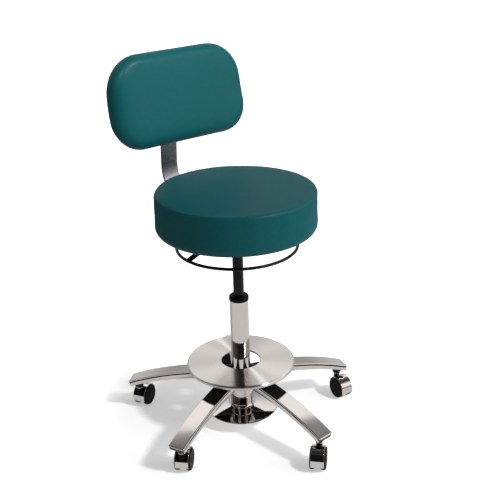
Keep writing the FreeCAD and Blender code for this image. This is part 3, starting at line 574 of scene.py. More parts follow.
def inflated(item, cap, held):
    """Swells a cushion by cloth pressure; held points stay and no point moves further than the cap."""
    mesh = item.data
    before = points_of(mesh)
    group = item.vertex_groups.new(name="held")
    group.add([vertex.index for vertex in mesh.vertices if held(vertex.co)], 1.0, "REPLACE")
    cloth = item.modifiers.new("foam", "CLOTH").settings
    cloth.use_pressure = True
    cloth.uniform_pressure_force = FOAM_PRESSURE
    cloth.effector_weights.gravity = 0
    cloth.vertex_group_mass = "held"
    cloth.quality = 4
    scene = bpy.context.scene
    for moment in range(1, CLOTH_FRAMES + 1):
        scene.frame_set(moment)
    steps = points_of(item.evaluated_get(bpy.context.evaluated_depsgraph_get()).to_mesh()) - before
    item.modifiers.clear()
    item.vertex_groups.clear()
    scene.frame_set(1)
    lengths = np.linalg.norm(steps, axis=1, keepdims=True)
    steps = steps * np.minimum(1.0, cap / np.maximum(lengths, 1e-9))
    # Tight vinyl keeps the broad swelling and only a little of the fine wrinkling
    steps = evened(mesh, steps, EVEN_ROUNDS) * (1 - WRINKLES_KEPT) + steps * WRINKLES_KEPT
    set_points(mesh, before + steps)


def relaxed(item, rounds=2):
    """Takes the grid's steps out of a cushion's surface."""
    build = bmesh.new()
    build.from_mesh(item.data)
    for _ in range(rounds):
        bmesh.ops.smooth_vert(build, verts=build.verts, factor=0.5, use_axis_x=True, use_axis_y=True,
                              use_axis_z=True)
    build.to_mesh(item.data)
    build.free()


def fitted(item, low, high):
    """Brings a cushion back to a box."""
    points = points_of(item.data)
    small, large = points.min(axis=0), points.max(axis=0)
    points = np.array(low) + (points - small) / (large - small) * (np.array(high) - np.array(low))
    set_points(item.data, points)


def subdivided(item):
    """One level of subdivision, left live, at the same level in the viewport as in the render."""
    item.data.shade_smooth()
    modifier = item.modifiers.new("smooth", "SUBSURF")
    modifier.levels = 1
    modifier.render_levels = 1


def seam_ridge(name, points, radius, sides=8):
    """Thin closed cord of covered seam along a loop of points and their outward directions."""
    build = bmesh.new()
    rings = []
    count = len(points)
    turns = [WHOLE_TURN * step / sides for step in range(sides)]
    for index, (point, outward) in enumerate(points):
        along = (points[(index + 1) % count][0] - points[index - 1][0]).normalized()
        side = along.cross(outward).normalized()
        out = side.cross(along).normalized()
        rings.append([point + side * radius * math.cos(a) + out * radius * math.sin(a) for a in turns])
    skin(build, rings, True)
    return shaped(name, build, math.pi)


class STOOL_OT_seat_cushion(bpy.types.Operator):
    """Round seat cushion swollen by its foam, with the seam between its top and side panels"""

    bl_idname = "stool.seat_cushion"
    bl_label = "Seat cushion"

    def execute(self, context):
        """Turns the plain form, inflates it and lays the seam on it."""
        sizes = context.scene.stool_seat
        base, top = SEAT_LOW.z, SEAT_HIGH.z
        radius = sizes.radius
        rim = top - sizes.crown
        gap, margin = 0.0004, 0.006
        board = half_across("seat_board") + gap
        board_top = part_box("seat_board")[1].z + gap
        side_round, top_round = 0.12, 0.2
        build = bmesh.new()
        turn_loop(build, soft_loop([
            (0.0, board_top, 0),
            (board, board_top, 0),
            (board, base, 0),
            (radius, base, sizes.tuck),
            (radius - sizes.waist, (base + rim) / 2, side_round),
            (radius, rim, sizes.edge),
            (radius * 0.5, rim + sizes.crown * 0.75, top_round),
            (0.0, top, 0),
        ], 8), 128)
        item = remeshed(shaped("seat_vinyl", build), sizes.voxel)

        def held(point):
            in_recess = point.z < board_top + margin and point.xy.length < board + margin
            return point.z < base + margin or in_recess

        inflated(item, sizes.swell, held)
        relaxed(item)
        proud = Vector((sizes.proud, sizes.proud, 0))
        fitted(item, SEAT_LOW - proud, SEAT_HIGH + proud)
        subdivided(item)
        dress(item, BODY_OF["seat_cushion"], upholstery_vinyl(), "vinyl", "seat_cushion")
        self.seam(item, sizes, rim)
        return {"FINISHED"}

    def seam(self, item, sizes, rim):
        """Lays a low ridge round the upper edge of the cushion."""
        surface = BVHTree.FromObject(item, bpy.context.evaluated_depsgraph_get())
        steps, slope, sunk, beyond = 240, 0.9, 0.35, 0.1
        middle = Vector((0, 0, SEAT_LOW.z))
        points = []
        for step in range(steps):
            angle = WHOLE_TURN * step / steps
            level = Vector((math.cos(angle), math.sin(angle), 0))
            out = (level + UP * slope).normalized()
            aim = level * (sizes.radius - sizes.edge) + UP * (rim - sizes.edge)
            hit = surface.ray_cast(aim + out * beyond, -out)[0]
            if hit is None:
                raise RuntimeError("the seam misses the seat cushion")
            points.append((hit - out * sizes.seam * sunk, (hit - middle).normalized()))
        seam = seam_ridge("seat_seam", points, sizes.seam)
        dress(seam, BODY_OF["seat_cushion"], upholstery_vinyl(), "vinyl")


def oblong(half_width, half_rise, corner, shoulder, taper, steps=10):
    """Rounded outline of the back cushion, wider and less rounded below."""
    low, high = half_width + taper / 2, half_width - taper / 2
    upper = corner + shoulder
    return soft_loop([(-low, -half_rise, corner), (low, -half_rise, corner), (high, half_rise, upper),
                      (-high, half_rise, upper)], steps)


class STOOL_OT_back_cushion(bpy.types.Operator):
    """Back cushion swollen by its foam, crowned towards the sitter and flat behind"""

    bl_idname = "stool.back_cushion"
    bl_label = "Back cushion"

    def execute(self, context):
        """Stacks rounded outlines from rear to front, inflates them and places the cushion."""
        sizes = context.scene.stool_back
        half = sizes.depth / 2
        # Depth from the middle as a share of half the thickness, and inset of the outline in metres
        layers = ((-1.0, 0.024), (-0.84, 0.013), (-0.62, 0.007), (-0.4, 0.004), (-0.15, 0.001), (0.1, 0.0005),
                  (0.34, 0.001), (0.54, 0.0028), (0.7, 0.0058), (0.82, 0.0095), (0.91, 0.014), (0.965, 0.019),
                  (0.992, 0.025), (1.0, 0.033))
        shrink = sizes.swell * 0.4
        rings = []
        for share, inset in layers:
            inset = inset + shrink
            outline = oblong(sizes.width / 2 - inset, sizes.rise / 2 - inset, sizes.corner - inset * 0.8,
                             sizes.shoulder, sizes.taper)
            depth = share * half - (shrink if share > 0 else 0) * share
            rings.append([Vector((p.x, p.y, depth)) for p in outline])
        build = bmesh.new()
        skin(build, rings, False)
        item = remeshed(shaped("back_vinyl", build), sizes.voxel)
        rear = 0.005 - half
        inflated(item, sizes.swell, lambda point: point.z < rear)
        relaxed(item)
        reach = Vector((sizes.width / 2 + sizes.taper * 0.4, sizes.rise / 2, half))
        fitted(item, -reach, reach)
        # The cushion is made lying: X across, Y up along it, Z towards the sitter
        upright = Matrix.Rotation(math.pi / 2 - sizes.recline, 4, "X")
        item.data.transform(Matrix.Translation(sizes.middle) @ upright)
        subdivided(item)
        dress(item, BODY_OF["back_cushion"], upholstery_vinyl(), "vinyl", "back_cushion", "back_panel")
        return {"FINISHED"}


# Base

def stations(near, far, count=28):
    """Even steps from one reach to another."""
    return [near + (far - near) * step / count for step in range(count + 1)]


def arch_centre(sizes):
    """Middle of the circle that a leg's top follows, as (reach, height)."""
    return Vector((sizes.leg_apex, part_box("leg_1")[1].z - sizes.leg_arch))


def arch_frames(sizes, turn, reaches):
    """Frames along a leg's arched top: X across, Z out of the arch."""
    centre = arch_centre(sizes)
    frames = []
    for reach in reaches:
        lean = math.asin((reach - sizes.leg_apex) / sizes.leg_arch)
        out = Vector((math.sin(lean), 0, math.cos(lean)))
        along = Vector((math.cos(lean), 0, -math.sin(lean)))
        place = Vector((centre.x, 0, centre.y)) + out * sizes.leg_arch
        frames.append(turn @ frame_at(place, out.cross(along), along, out))
    return frames


class STOOL_OT_legs(bpy.types.Operator):
    """Five arched legs, each a top plate that overhangs a channel, and the hub that they meet"""

    bl_idname = "stool.legs"
    bl_label = "Legs and hub"

    def execute(self, context):
        """Sweeps the plate and the channel of each leg along its arch."""
        sizes = context.scene.stool_base
        half, hem, depth = sizes.leg_width / 2, sizes.leg_hem, sizes.leg_depth
        fold, edge, groove_depth, bury, overlap = 0.0008, 0.001, 0.0014, 0.002, 0.001
        slack, hair, tip_skin = 0.0003, 0.0001, 0.0025
        wall = half - sizes.leg_lip
        inner = wall - sizes.leg_skin
        # A leg starts inside the hub
        near = half_across("hub") * 0.8
        end = sizes.leg_reach - sizes.leg_lip
        plate = soft_loop([(-half, -hem, fold), (half, -hem, fold), (half, 0, sizes.leg_bend),
                           (-half, 0, sizes.leg_bend)], 6, fold)
        # A groove parts the plate from the channel; its faces get the black coat as painted shade
        neck, brow = wall - groove_depth, -hem - sizes.leg_groove
        right = [(inner, -sizes.leg_skin, 0), (inner, -depth, edge), (wall, -depth, edge), (wall, brow, edge),
                 (neck, brow, 0), (neck, -bury, 0)]
        channel = [(-x, y, rounding) for x, y, rounding in reversed(right)] + right
        tip = inner + overlap
        tip_wall = [(-tip, -bury, 0), (-tip, -depth, edge), (tip, -depth, edge), (tip, -bury, 0)]
        centre = arch_centre(sizes)
        for index in LEGS:
            place = joint_place(f"caster_swivel_{index}")
            turn = Matrix.Rotation(math.atan2(place.y, place.x), 4, "Z")
            build = bmesh.new()
            self.top_plate(build, sizes, plate, turn, near)
            self.thinning(build, sizes, channel, brow, arch_frames(sizes, turn, stations(near, end)), 0.0)
            tip_frames = arch_frames(sizes, turn, stations(end - sizes.leg_skin, end, 2))
            self.thinning(build, sizes, tip_wall, brow, tip_frames, 1.0)
            self.socket(build, turn, place.xy.length)
            item = shaped(f"chromed_leg_{index}", build)
            dress(item, "base", polished_chrome(), "chrome", f"leg_{index}")
            back = turn.inverted()

            # Painted shade: the channel's inside, the socket and the groove get the black coat, standing for the
            # shade under the top plate
            def dark(face):
                local = back @ face.center
                below = sizes.leg_arch - (Vector((local.x, local.z)) - centre).length
                inside = abs(local.y) < neck + slack and local.x < end - tip_skin
                groove = abs(local.y) > inner and below < hem + sizes.leg_groove + slack
                return below > hem + hair and (inside or groove)

            shade_coat(item, powder_coat_and_shade(), dark)
        self.hub()
        return {"FINISHED"}

    def top_plate(self, build, sizes, plate, turn, near):
        """Sweeps the top plate; its tip is rounded in plan and rolls down at its end."""
        corner = sizes.leg_corner
        straight = sizes.leg_reach - corner
        rings = [carried(plate, matrix) for matrix in arch_frames(sizes, turn, stations(near, straight))]
        steps = 7
        for step in range(1, steps + 1):
            angle = math.pi / 2 * step / steps
            matrix = arch_frames(sizes, turn, [straight + corner * math.sin(angle)])[0]
            scale = 1 - corner * (1 - math.cos(angle)) / (sizes.leg_width / 2)
            drop = -sizes.leg_bend * (1 - math.cos(angle))
            rings.append(carried([(p.x * scale, min(p.y, drop)) for p in plate], matrix))
        skin(build, rings, False)

    def thinning(self, build, sizes, corners, brow, frames, start):
        """Sweeps a section whose part below the brow gets shallower towards the tip."""
        rings = []
        for index, matrix in enumerate(frames):
            share = start + (1 - start) * index / (len(frames) - 1)
            keep = 1 - sizes.leg_thin * share
            section = soft_loop(corners, 3)
            section = [(p.x, p.y if p.y > brow else brow + (p.y - brow) * keep) for p in section]
            rings.append(carried(section, matrix))
        skin(build, rings, False)

    def socket(self, build, turn, reach):
        """Caster socket under a leg."""
        low, high, bore, outer = 0.068, 0.0945, 0.0056, 0.012
        loop = soft_loop([(bore, low, 0.0004), (outer, low, 0.0012), (outer, high, 0), (bore, high, 0)], 3)
        turn_loop(build, loop, 40, turn @ Matrix.Translation((reach, 0, 0)))

    def hub(self):
        """Turned hub that the legs are welded to."""
        low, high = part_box("hub")
        outer, bore = half_across("hub"), half_across("column_tube") + 0.0001
        lower, step_low, step_high = 0.031, 0.110, 0.116
        turned("chromed_hub", "hub", polished_chrome(), "chrome", [
            (bore, low.z, 0.0005), (lower, low.z, 0.002), (lower, step_low, 0.003), (outer, step_high, 0.002),
            (outer, high.z, 0.002), (bore, high.z, 0.0005)], 4)


class STOOL_OT_foot_disc(bpy.types.Operator):
    """Spun foot disc with a rolled rim and a turned-down hole"""

    bl_idname = "stool.foot_disc"
    bl_label = "Foot disc"

    def execute(self, context):
        """Turns the disc from its rolled section."""
        sizes = context.scene.stool_base
        sheet, hole, roll = sizes.disc_sheet, sizes.disc_hole, sizes.disc_roll
        outer, top, low = half_across("foot_disc"), DISC_HIGH.z, DISC_LOW.z
        rim, hem = top - sizes.disc_fall, top - sizes.disc_hem
        item = turned("spun_foot_disc", "foot_disc", spun_steel(), "steel", [
            (hole, hem, 0.0006),
            (hole, top, sheet),
            (outer, rim, roll),
            (outer, low, 0.0009),
            (outer - sheet, low, 0.0009),
            (outer - sheet, rim - sheet, roll - sheet),
            (hole + sheet, top - sheet, 0.0004),
            (hole + sheet, hem, 0.0006),
        ], 8, 0.001, 192)

        # Painted shade: the underside and the inner face of the rolled rim get the black coat, standing for the
        # shade under the disc
        def under(face):
            inward = face.normal.dot(Vector((face.center.x, face.center.y, 0)).normalized()) < -0.2
            return face.normal.z < -0.2 or (inward and face.center.xy.length > hole + 2 * sheet)

        shade_coat(item, powder_coat_and_shade(), under)
        coat(zinc_plate(), "disc_posts")
        return {"FINISHED"}


class STOOL_OT_column(bpy.types.Operator):
    """Column tube, guide collar, gas cylinder and the bell below the hub"""

    bl_idname = "stool.column"
    bl_label = "Column"

    def execute(self, context):
        """Turns each round piece of the column."""
        sizes = context.scene.stool_base
        tube, wall = half_across("column_tube"), sizes.tube_wall
        turned("chromed_column", "column_tube", polished_chrome(), "chrome", [
            (tube - wall, TUBE_LOW.z, 0.0004), (tube, TUBE_LOW.z, 0.0008), (tube, TUBE_HIGH.z, 0.0006),
            (tube - wall, TUBE_HIGH.z, 0.0004)])
        cylinder, gap = half_across("gas_cylinder"), 0.0002
        collar, bore = half_across("column_bush"), cylinder + 0.0003
        inner, seat = tube - wall - gap, TUBE_HIGH.z + gap
        turned("guide_collar", "column_bush", nylon_and_shade(), "black_plastic", [
            (bore, BUSH_LOW.z, 0.0005), (inner, BUSH_LOW.z, 0.0005), (inner, seat, 0), (collar, seat, 0.001),
            (collar, BUSH_HIGH.z, 0.0045), (bore, BUSH_HIGH.z, 0.0012)])
        low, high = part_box("gas_cylinder")
        taper, pin, pin_depth, head = 0.033, 0.0032, 0.02, 0.045
        turned("gas_cylinder_case", "gas_cylinder", powder_coat_and_shade(), "black_paint", [
            (cylinder - wall, low.z, 0.0004), (cylinder, low.z, 0.0008), (cylinder, high.z - taper, 0),
            (cylinder - 0.0008, high.z, 0.0008), (pin, high.z, 0.0003), (pin, high.z - pin_depth, 0),
            (cylinder - wall, high.z - head, 0)])
        neck, sheet = sizes.bell_neck, sizes.bell_sheet
        rim, foot, top = half_across("bell_cover"), BELL_LOW.z, BELL_HIGH.z
        waist, flare = foot + sizes.bell_rise, 0.009
        turned("chromed_bell", "bell_cover", polished_chrome(), "chrome", [
            (neck - sheet, top, 0.0005), (neck - sheet, waist - sheet, flare + sheet),
            (rim - sheet, foot, 0.0005), (rim, foot, 0.0008), (rim, foot + sheet, 0.0014),
            (neck, waist, flare), (neck, top, 0.0008)], 12)
        return {"FINISHED"}


# Release ring and backrest bar

def strap_frames(points, bends, across, steps=10):
    """Frames along a bent flat strap: X across, Z out of its face."""
    path = [Vector(points[0])]
    for index in range(1, len(points) - 1):
        corner = Vector(points[index])
        before = (Vector(points[index - 1]) - corner).normalized()
        after = (Vector(points[index + 1]) - corner).normalized()
        half = before.angle(after) / 2
        trim = bends[index - 1] / math.tan(half)
        centre = corner + (before + after).normalized() * (bends[index - 1] / math.sin(half))
        start, end = corner + before * trim, corner + after * trim
        turn = (start - centre).rotation_difference(end - centre)
        for step in range(steps + 1):
            arm = (start - centre).copy()
            arm.rotate(Quaternion().slerp(turn, step / steps))
            path.append(centre + arm)
    path.append(Vector(points[-1]))
    frames = []
    for index, point in enumerate(path):
        along = (path[min(index + 1, len(path) - 1)] - path[max(index - 1, 0)]).normalized()
        frames.append(frame_at(point, across, along, across.cross(along).normalized()))
    return frames


def flat_section(width, sheet, edge):
    """Section of a flat strap about its middle."""
    w, t = width / 2, sheet / 2
    return soft_loop([(-w, -t, edge), (w, -t, edge), (w, t, edge), (-w, t, edge)], 4, 0.0006)


class STOOL_OT_release(bpy.types.Operator):
    """Ring under the seat that lets the gas lift go, with its two arms and the rocker above the valve"""

    bl_idname = "stool.release"
    bl_label = "Height release"

    def execute(self, context):
        """Turns the ring and sweeps the arms up to the rocker."""
        rod, sides, knee, bend = 0.004, 20, 0.042, 0.012
        arm_width, rocker_width, sheet, edge = 0.019, 0.047, 0.003, 0.0006
        cheek_out, cheek_drop, cheek_rise, cheek_ends = 0.022, 0.007, 0.0135, (-0.045, 0.008)
        radius = half_across("release_ring") - rod
        height = RING_LOW.z + rod
        rocker = RING_HIGH.z - sheet / 2
        build = bmesh.new()
        turns = [WHOLE_TURN * step / sides for step in range(sides)]
        ring = [Vector((radius + rod * math.cos(a), height + rod * math.sin(a))) for a in turns]
        turn_loop(build, ring, 160)
        points = [(-radius, 0, height), (-knee, 0, rocker), (knee, 0, rocker), (radius, 0, height)]
        arms = strap_frames(points, (bend, bend), Vector((0, 1, 0)))
        sweep_loop(build, flat_section(arm_width, sheet, 0.0008), arms)
        # Straight pieces of the rocker run along X
        along_x = Matrix.Rotation(math.pi / 2, 4, "Z")
        bridge = [Matrix.Translation((x, 0, rocker)) @ along_x for x in (-knee, knee)]
        sweep_loop(build, flat_section(rocker_width, sheet, edge), bridge)
        for side in (-1, 1):
            ends = [Vector((x, side * cheek_out, rocker - cheek_drop)) for x in cheek_ends]
            cheek = [Matrix.Translation(end) @ along_x for end in ends]
            sweep_loop(build, flat_section(sheet, cheek_rise, edge), cheek)
        item = shaped("release_ring_rod", build)
        dress(item, "release", powder_coat_and_shade(), "black_paint", "release_ring")
        return {"FINISHED"}


class STOOL_OT_back_bar(bpy.types.Operator):
    """Satin flat bar from under the seat to the back cushion"""

    bl_idname = "stool.back_bar"
    bl_label = "Back bar"

    def execute(self, context):
        """Sweeps the bar round its bend."""
        sizes = context.scene.stool_back
        half = sizes.bar_sheet / 2
        level = BAR_LOW.z + half
        slope = math.tan(sizes.bar_lean)
        # Middle line of the upright, from the reach of its front face and its lean
        reach = sizes.bar_reach + half / math.cos(sizes.bar_lean)
        foot = Vector((0, reach + (sizes.bar_level - level) * slope, level))
        head = Vector((0, reach + (sizes.bar_level - BAR_HIGH.z) * slope, BAR_HIGH.z))
        if foot.y > BAR_HIGH.y + 0.01:
            raise RuntimeError("the bar's upright stands outside its CAD node")
        frames = strap_frames([(0, BAR_LOW.y, level), foot, head], (sizes.bar_bend,), Vector((1, 0, 0)), 18)
        build = bmesh.new()
        sweep_loop(build, flat_section(sizes.bar_width, sizes.bar_sheet, 0.0014), frames)
        item = shaped("satin_back_bar", build)
        dress(item, "seat_unit", satin_chrome(), "chrome", "back_bar")
        coat(powder_coat_and_shade(), "back_bracket", "seat_plate", "taper_socket")
        coat(dust_cloth(), "seat_board")
        return {"FINISHED"}


# Fasteners by geometry nodes

def bolt_tree():
    """Geometry nodes: a hexagon head on a washer at each point."""
    tree = bpy.data.node_groups.new("bolt_heads", "GeometryNodeTree")
    kinds = {"Places": "Geometry", "Head Radius": "Float", "Head Height": "Float", "Washer Radius": "Float",
             "Washer Height": "Float", "Turn": "Vector", "Finish": "Material"}
    for name, kind in kinds.items():
        tree.interface.new_socket(name, in_out="INPUT", socket_type="NodeSocket" + kind)
    tree.interface.new_socket("Bolts", in_out="OUTPUT", socket_type="NodeSocketGeometry")
    given = add(tree, "NodeGroupInput").outputs
    head = add(tree, "GeometryNodeMeshCylinder", {"Vertices": 6, "Radius": given["Head Radius"],
                                                  "Depth": given["Head Height"]})
    washer = add(tree, "GeometryNodeMeshCylinder", {"Vertices": 28, "Radius": given["Washer Radius"],
                                                    "Depth": given["Washer Height"]})
    lift = add(tree, "ShaderNodeMath", {0: given["Head Height"], 1: given["Washer Height"]}, operation="ADD")
    middle = add(tree, "ShaderNodeMath", {0: lift.outputs[0], 1: 0.5}, operation="MULTIPLY")
    up = add(tree, "ShaderNodeCombineXYZ", {"Z": middle.outputs[0]})
    raised = add(tree, "GeometryNodeTransform", {"Geometry": head.outputs["Mesh"],
                                                 "Translation": up.outputs[0]})
    whole = add(tree, "GeometryNodeJoinGeometry", {"Geometry": raised.outputs["Geometry"]})
    tree.links.new(washer.outputs["Mesh"], whole.inputs["Geometry"])
    placed = add(tree, "GeometryNodeInstanceOnPoints", {"Points": given["Places"],
                                                        "Instance": whole.outputs["Geometry"],
                                                        "Rotation": given["Turn"]})
    real = add(tree, "GeometryNodeRealizeInstances", {"Geometry": placed.outputs["Instances"]})
    painted = add(tree, "GeometryNodeSetMaterial", {"Geometry": real.outputs["Geometry"],
                                                    "Material": given["Finish"]})
    add(tree, "NodeGroupOutput", {"Bolts": painted.outputs["Geometry"]})
    return tree


def bolts(name, tree, places, turn, node, head, head_height):
    """Bolt heads at places as one plain mesh on the seat's body."""
    points = bpy.data.meshes.new(name + "_places")
    points.from_pydata([tuple(place) for place in places], [], [])
    item = new_object(name, points)
    modifier = item.modifiers.new("bolts", "NODES")
    modifier.node_group = tree
    inputs = [socket for socket in tree.interface.items_tree if socket.in_out == "INPUT"]
    sockets = {socket.name: socket.identifier for socket in inputs}
    sizes = {"Head Radius": head, "Head Height": head_height, "Washer Radius": head * WASHER_TO_HEAD,
             "Washer Height": WASHER_HEIGHT, "Turn": turn, "Finish": zinc_plate()}
    for label, value in sizes.items():
        modifier[sockets[label]] = value
    mesh = evaluated_mesh(item)
    item.modifiers.clear()
    item.data = mesh
    dress(item, "seat_unit", zinc_plate(), "zinc", node)


class STOOL_OT_fasteners(bpy.types.Operator):
    """Bolts under the seat and screws behind the back"""

    bl_idname = "stool.fasteners"
    bl_label = "Fasteners"

    def execute(self, context):
        """Lays each set of bolts out with one node tree."""
        tree = bolt_tree()
        down = (math.pi, 0.0, 0.0)
        # Each place is the middle of a washer, half its height off the face that it lies on
        stand = WASHER_HEIGHT / 2
        box_depth, bolt_x, bolt_y = 0.025, 0.066, 0.058
        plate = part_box("seat_plate")[0].z + box_depth
        corners = [(x * bolt_x, y * bolt_y, plate - stand) for x in (-1, 1) for y in (-1, 1)]
        bolts("plate_bolt_heads", tree, corners, down, "plate_bolts", head=0.0055, head_height=0.003)
        first, pitch = 0.096, 0.029
        line = [(0, first + pitch * index, BAR_LOW.z - stand) for index in range(3)]
        bolts("bar_bolt_heads", tree, line, down, "bar_bolts", head=0.0065, head_height=0.0034)
        sizes = context.scene.stool_back
        slope = math.tan(sizes.bar_lean)
        rear = sizes.bar_reach + sizes.bar_sheet / math.cos(sizes.bar_lean) + stand
        apart, heights = 0.013, (0.832, 0.868)
        screws = [(x * apart, rear + (sizes.bar_level - z) * slope, z) for x in (-1, 1) for z in heights]
        behind = (sizes.bar_lean - math.pi / 2, 0.0, 0.0)
        bolts("back_screw_heads", tree, screws, behind, "back_screws", head=0.0052, head_height=0.003)
        coat(zinc_plate(), "column_foot", "thrust_bearing", "piston_rod", "piston", "retaining_clip",
             "cylinder_gland", "valve_pin", "pivot_pin")
        return {"FINISHED"}


# Casters

def caster_frame(index):
    """Frame of a caster on the floor: X the way it trails, Y along its axle."""
    swivel = joint_place(f"caster_swivel_{index}")
    wheels = [joint_place(f"wheel_{side}_spin_{index}") for side in ("left", "right")]
    axle = (wheels[0] + wheels[1]) / 2
    trail = Vector((axle.x - swivel.x, axle.y - swivel.y, 0))
    along = trail.normalized()
    return frame_at(Vector((swivel.x, swivel.y, 0)), along, UP.cross(along), UP), trail.length


class STOOL_OT_casters(bpy.types.Operator):
    """Twin-wheel casters: a chromed drum over two black wheels, on a plated stem"""

    bl_idname = "stool.casters"
    bl_label = "Casters"

    def execute(self, context):
        """Turns the drum, the neck and the wheels of each caster."""
        sizes = context.scene.stool_casters
        for index in LEGS:
            matrix, trail = caster_frame(index)
            axle = matrix @ Matrix.Translation((trail, 0, sizes.wheel_radius))
            self.hood(sizes, index, matrix, axle)
            for side, way in (("left", 1), ("right", -1)):
                self.wheel(sizes, f"{side}_{index}", axle, way)
            coat(zinc_plate(), f"caster_stem_{index}", f"caster_axle_{index}")
        return {"FINISHED"}

    def hood(self, sizes, index, matrix, axle):
        """Drum open below, with the rib between the wheels and the swivel neck."""
        outer, inner = sizes.hood_radius, sizes.hood_radius - sizes.hood_sheet
        wide, rib, core, edge = sizes.hood_width / 2, sizes.hood_web / 2, 0.007, 0.0006
        loop = soft_loop([(outer, -wide, edge), (outer, wide, edge), (inner, wide, edge), (inner, rib, 0.001),
                          (core, rib, 0), (core, -rib, 0), (inner, -rib, 0.001), (inner, -wide, edge)],
                         3, 0.0005)
        # The turning axis lies along the axle, and the drum stops a little below it
        lying = axle @ Matrix.Rotation(math.pi / 2, 4, "X")
        gap = math.asin((sizes.wheel_radius - sizes.hood_foot) / outer)
        build = bmesh.new()
        turn_loop(build, loop, 96, lying, -gap, math.pi + gap)
        bore, boss = sizes.axle_bore, core + 0.0006
        loop = soft_loop([(bore, -rib, 0), (boss, -rib, 0.0004), (boss, rib, 0.0004), (bore, rib, 0)], 2)
        turn_loop(build, loop, 48, lying)
        neck, stem, low, high = sizes.neck_radius, sizes.stem_bore, sizes.neck_foot, sizes.neck_top
        loop = soft_loop([(stem, low, 0), (neck, low, 0), (neck, high, 0.001), (stem, high, 0.0004)], 3)
        turn_loop(build, loop, 48, matrix)
        item = shaped(f"chromed_caster_{index}", build)
        dress(item, f"caster_{index}", polished_chrome(), "chrome", f"caster_hood_{index}")
        back = matrix.inverted()
        slack, hair = 0.0003, 0.0001

        # Painted shade: the neck's faces get the black nylon, standing for the shade under the leg's tip
        def on_neck(face):
            local = back @ face.center
            return local.xy.length < neck + slack and local.z > low - hair

        shade_coat(item, nylon_and_shade(), on_neck)

    def wheel(self, sizes, name, axle, way):
        """Wheel with a crowned tread, a dished face and a hub cap."""
        radius, width, bore = sizes.wheel_radius, sizes.wheel_width, sizes.axle_bore
        shoulder, dish, back = radius - 0.001, width - 0.0008, width - 0.0006
        rim, cap, slope, edge = 0.0225, 0.0088, 0.0006, 0.0004
        facing = Matrix.Rotation(-way * math.pi / 2, 4, "X")
        place = axle @ Matrix.Translation((0, way * sizes.wheel_inner, 0)) @ facing
        turned(f"nylon_wheel_{name}", f"wheel_{name}", nylon_and_shade(), "caster_wheel", [
            (bore, 0, 0), (shoulder, 0, 0.003), (radius, width / 2, 0.05), (shoulder, width, 0.003),
            (rim, width, edge), (rim - slope, dish, edge), (cap + slope, dish, edge), (cap, width, edge),
            (0, width, 0), (0, back, 0), (bore, back, 0)], 4, 0.0005, 72, place)


# Stage

def ray_kinds(tree):
    """Sockets of a light path and of the rays that show the background."""
    path = add(tree, "ShaderNodeLightPath").outputs
    both = add(tree, "ShaderNodeMath", {0: path["Is Camera Ray"], 1: path["Is Transmission Ray"]},
               operation="MAXIMUM")
    return path, both.outputs[0]


def studio_floor(middle):
    """Pale matt floor that keeps the base's shadow, white round a middle and dark in far reflections; to the
    camera a painted glow washes out the seat's shadow.
    """
    material, tree = new_material("pale_studio_floor")
    path, shown = ray_kinds(tree)
    glossy = path["Is Glossy Ray"]
    place = add(tree, "ShaderNodeTexCoord").outputs["Object"]
    beside = add(tree, "ShaderNodeVectorMath", {0: place, 1: tuple(middle)}, operation="SUBTRACT")
    reach = add(tree, "ShaderNodeVectorMath", {0: beside.outputs["Vector"]}, operation="LENGTH")
    far = add(tree, "ShaderNodeMapRange", {"Value": reach.outputs["Value"], "From Min": 1.15,
                                           "From Max": 1.7}, interpolation_type="SMOOTHSTEP")
    hidden = add(tree, "ShaderNodeMath", {0: far.outputs["Result"], 1: glossy}, operation="MULTIPLY")
    seen = add(tree, "ShaderNodeMath", {0: shown, 1: glossy}, operation="MAXIMUM")
    matt = add(tree, "ShaderNodeBsdfDiffuse", {"Color": linear("#E7E7E7")})
    # Painted light: to the camera the floor's glow grows away from the column, so that the floor turns white
    # before the shadow of the seat and that shadow is washed out
    spot = add(tree, "ShaderNodeVectorMath", {0: place}, operation="LENGTH")
    shadow_wash = add(tree, "ShaderNodeMapRange", {"Value": spot.outputs["Value"], "From Min": 0.33,
                                            "From Max": 0.47, "To Min": 0.42, "To Max": 0.80},
               interpolation_type="SMOOTHSTEP")
    less = add(tree, "ShaderNodeMix", {0: glossy, 2: shadow_wash.outputs["Result"], 3: 0.30})
    lift = add(tree, "ShaderNodeMath", {0: seen.outputs[0], 1: less.outputs[0]}, operation="MULTIPLY")
    glow = add(tree, "ShaderNodeEmission", {"Color": linear("#FFFFFF"), "Strength": lift.outputs[0]})
    near = add(tree, "ShaderNodeAddShader", {0: matt.outputs[0], 1: glow.outputs[0]})
    dark = add(tree, "ShaderNodeEmission", {"Color": linear("#3F3F3F"), "Strength": 1.0})
    mixed = add(tree, "ShaderNodeMixShader", {0: hidden.outputs[0], 1: near.outputs[0], 2: dark.outputs[0]})
    add(tree, "ShaderNodeOutputMaterial", {"Surface": mixed.outputs[0]})
    return material


def dark_wall():
    """Unlit dark wall of the studio, seen only in reflections."""
    material, tree = new_material("dark_studio_wall")
    dark = add(tree, "ShaderNodeEmission", {"Color": linear("#1C1C1D"), "Strength": 1.0})
    add(tree, "ShaderNodeOutputMaterial", {"Surface": dark.outputs[0]})
    return material


def plate(name, corners, material):
    """Flat stage piece."""
    mesh = bpy.data.meshes.new(name)
    mesh.from_pydata([tuple(corner) for corner in corners], [], [(0, 1, 2, 3)])
    mesh.materials.append(material)
    item = new_object(name, mesh)
    return item


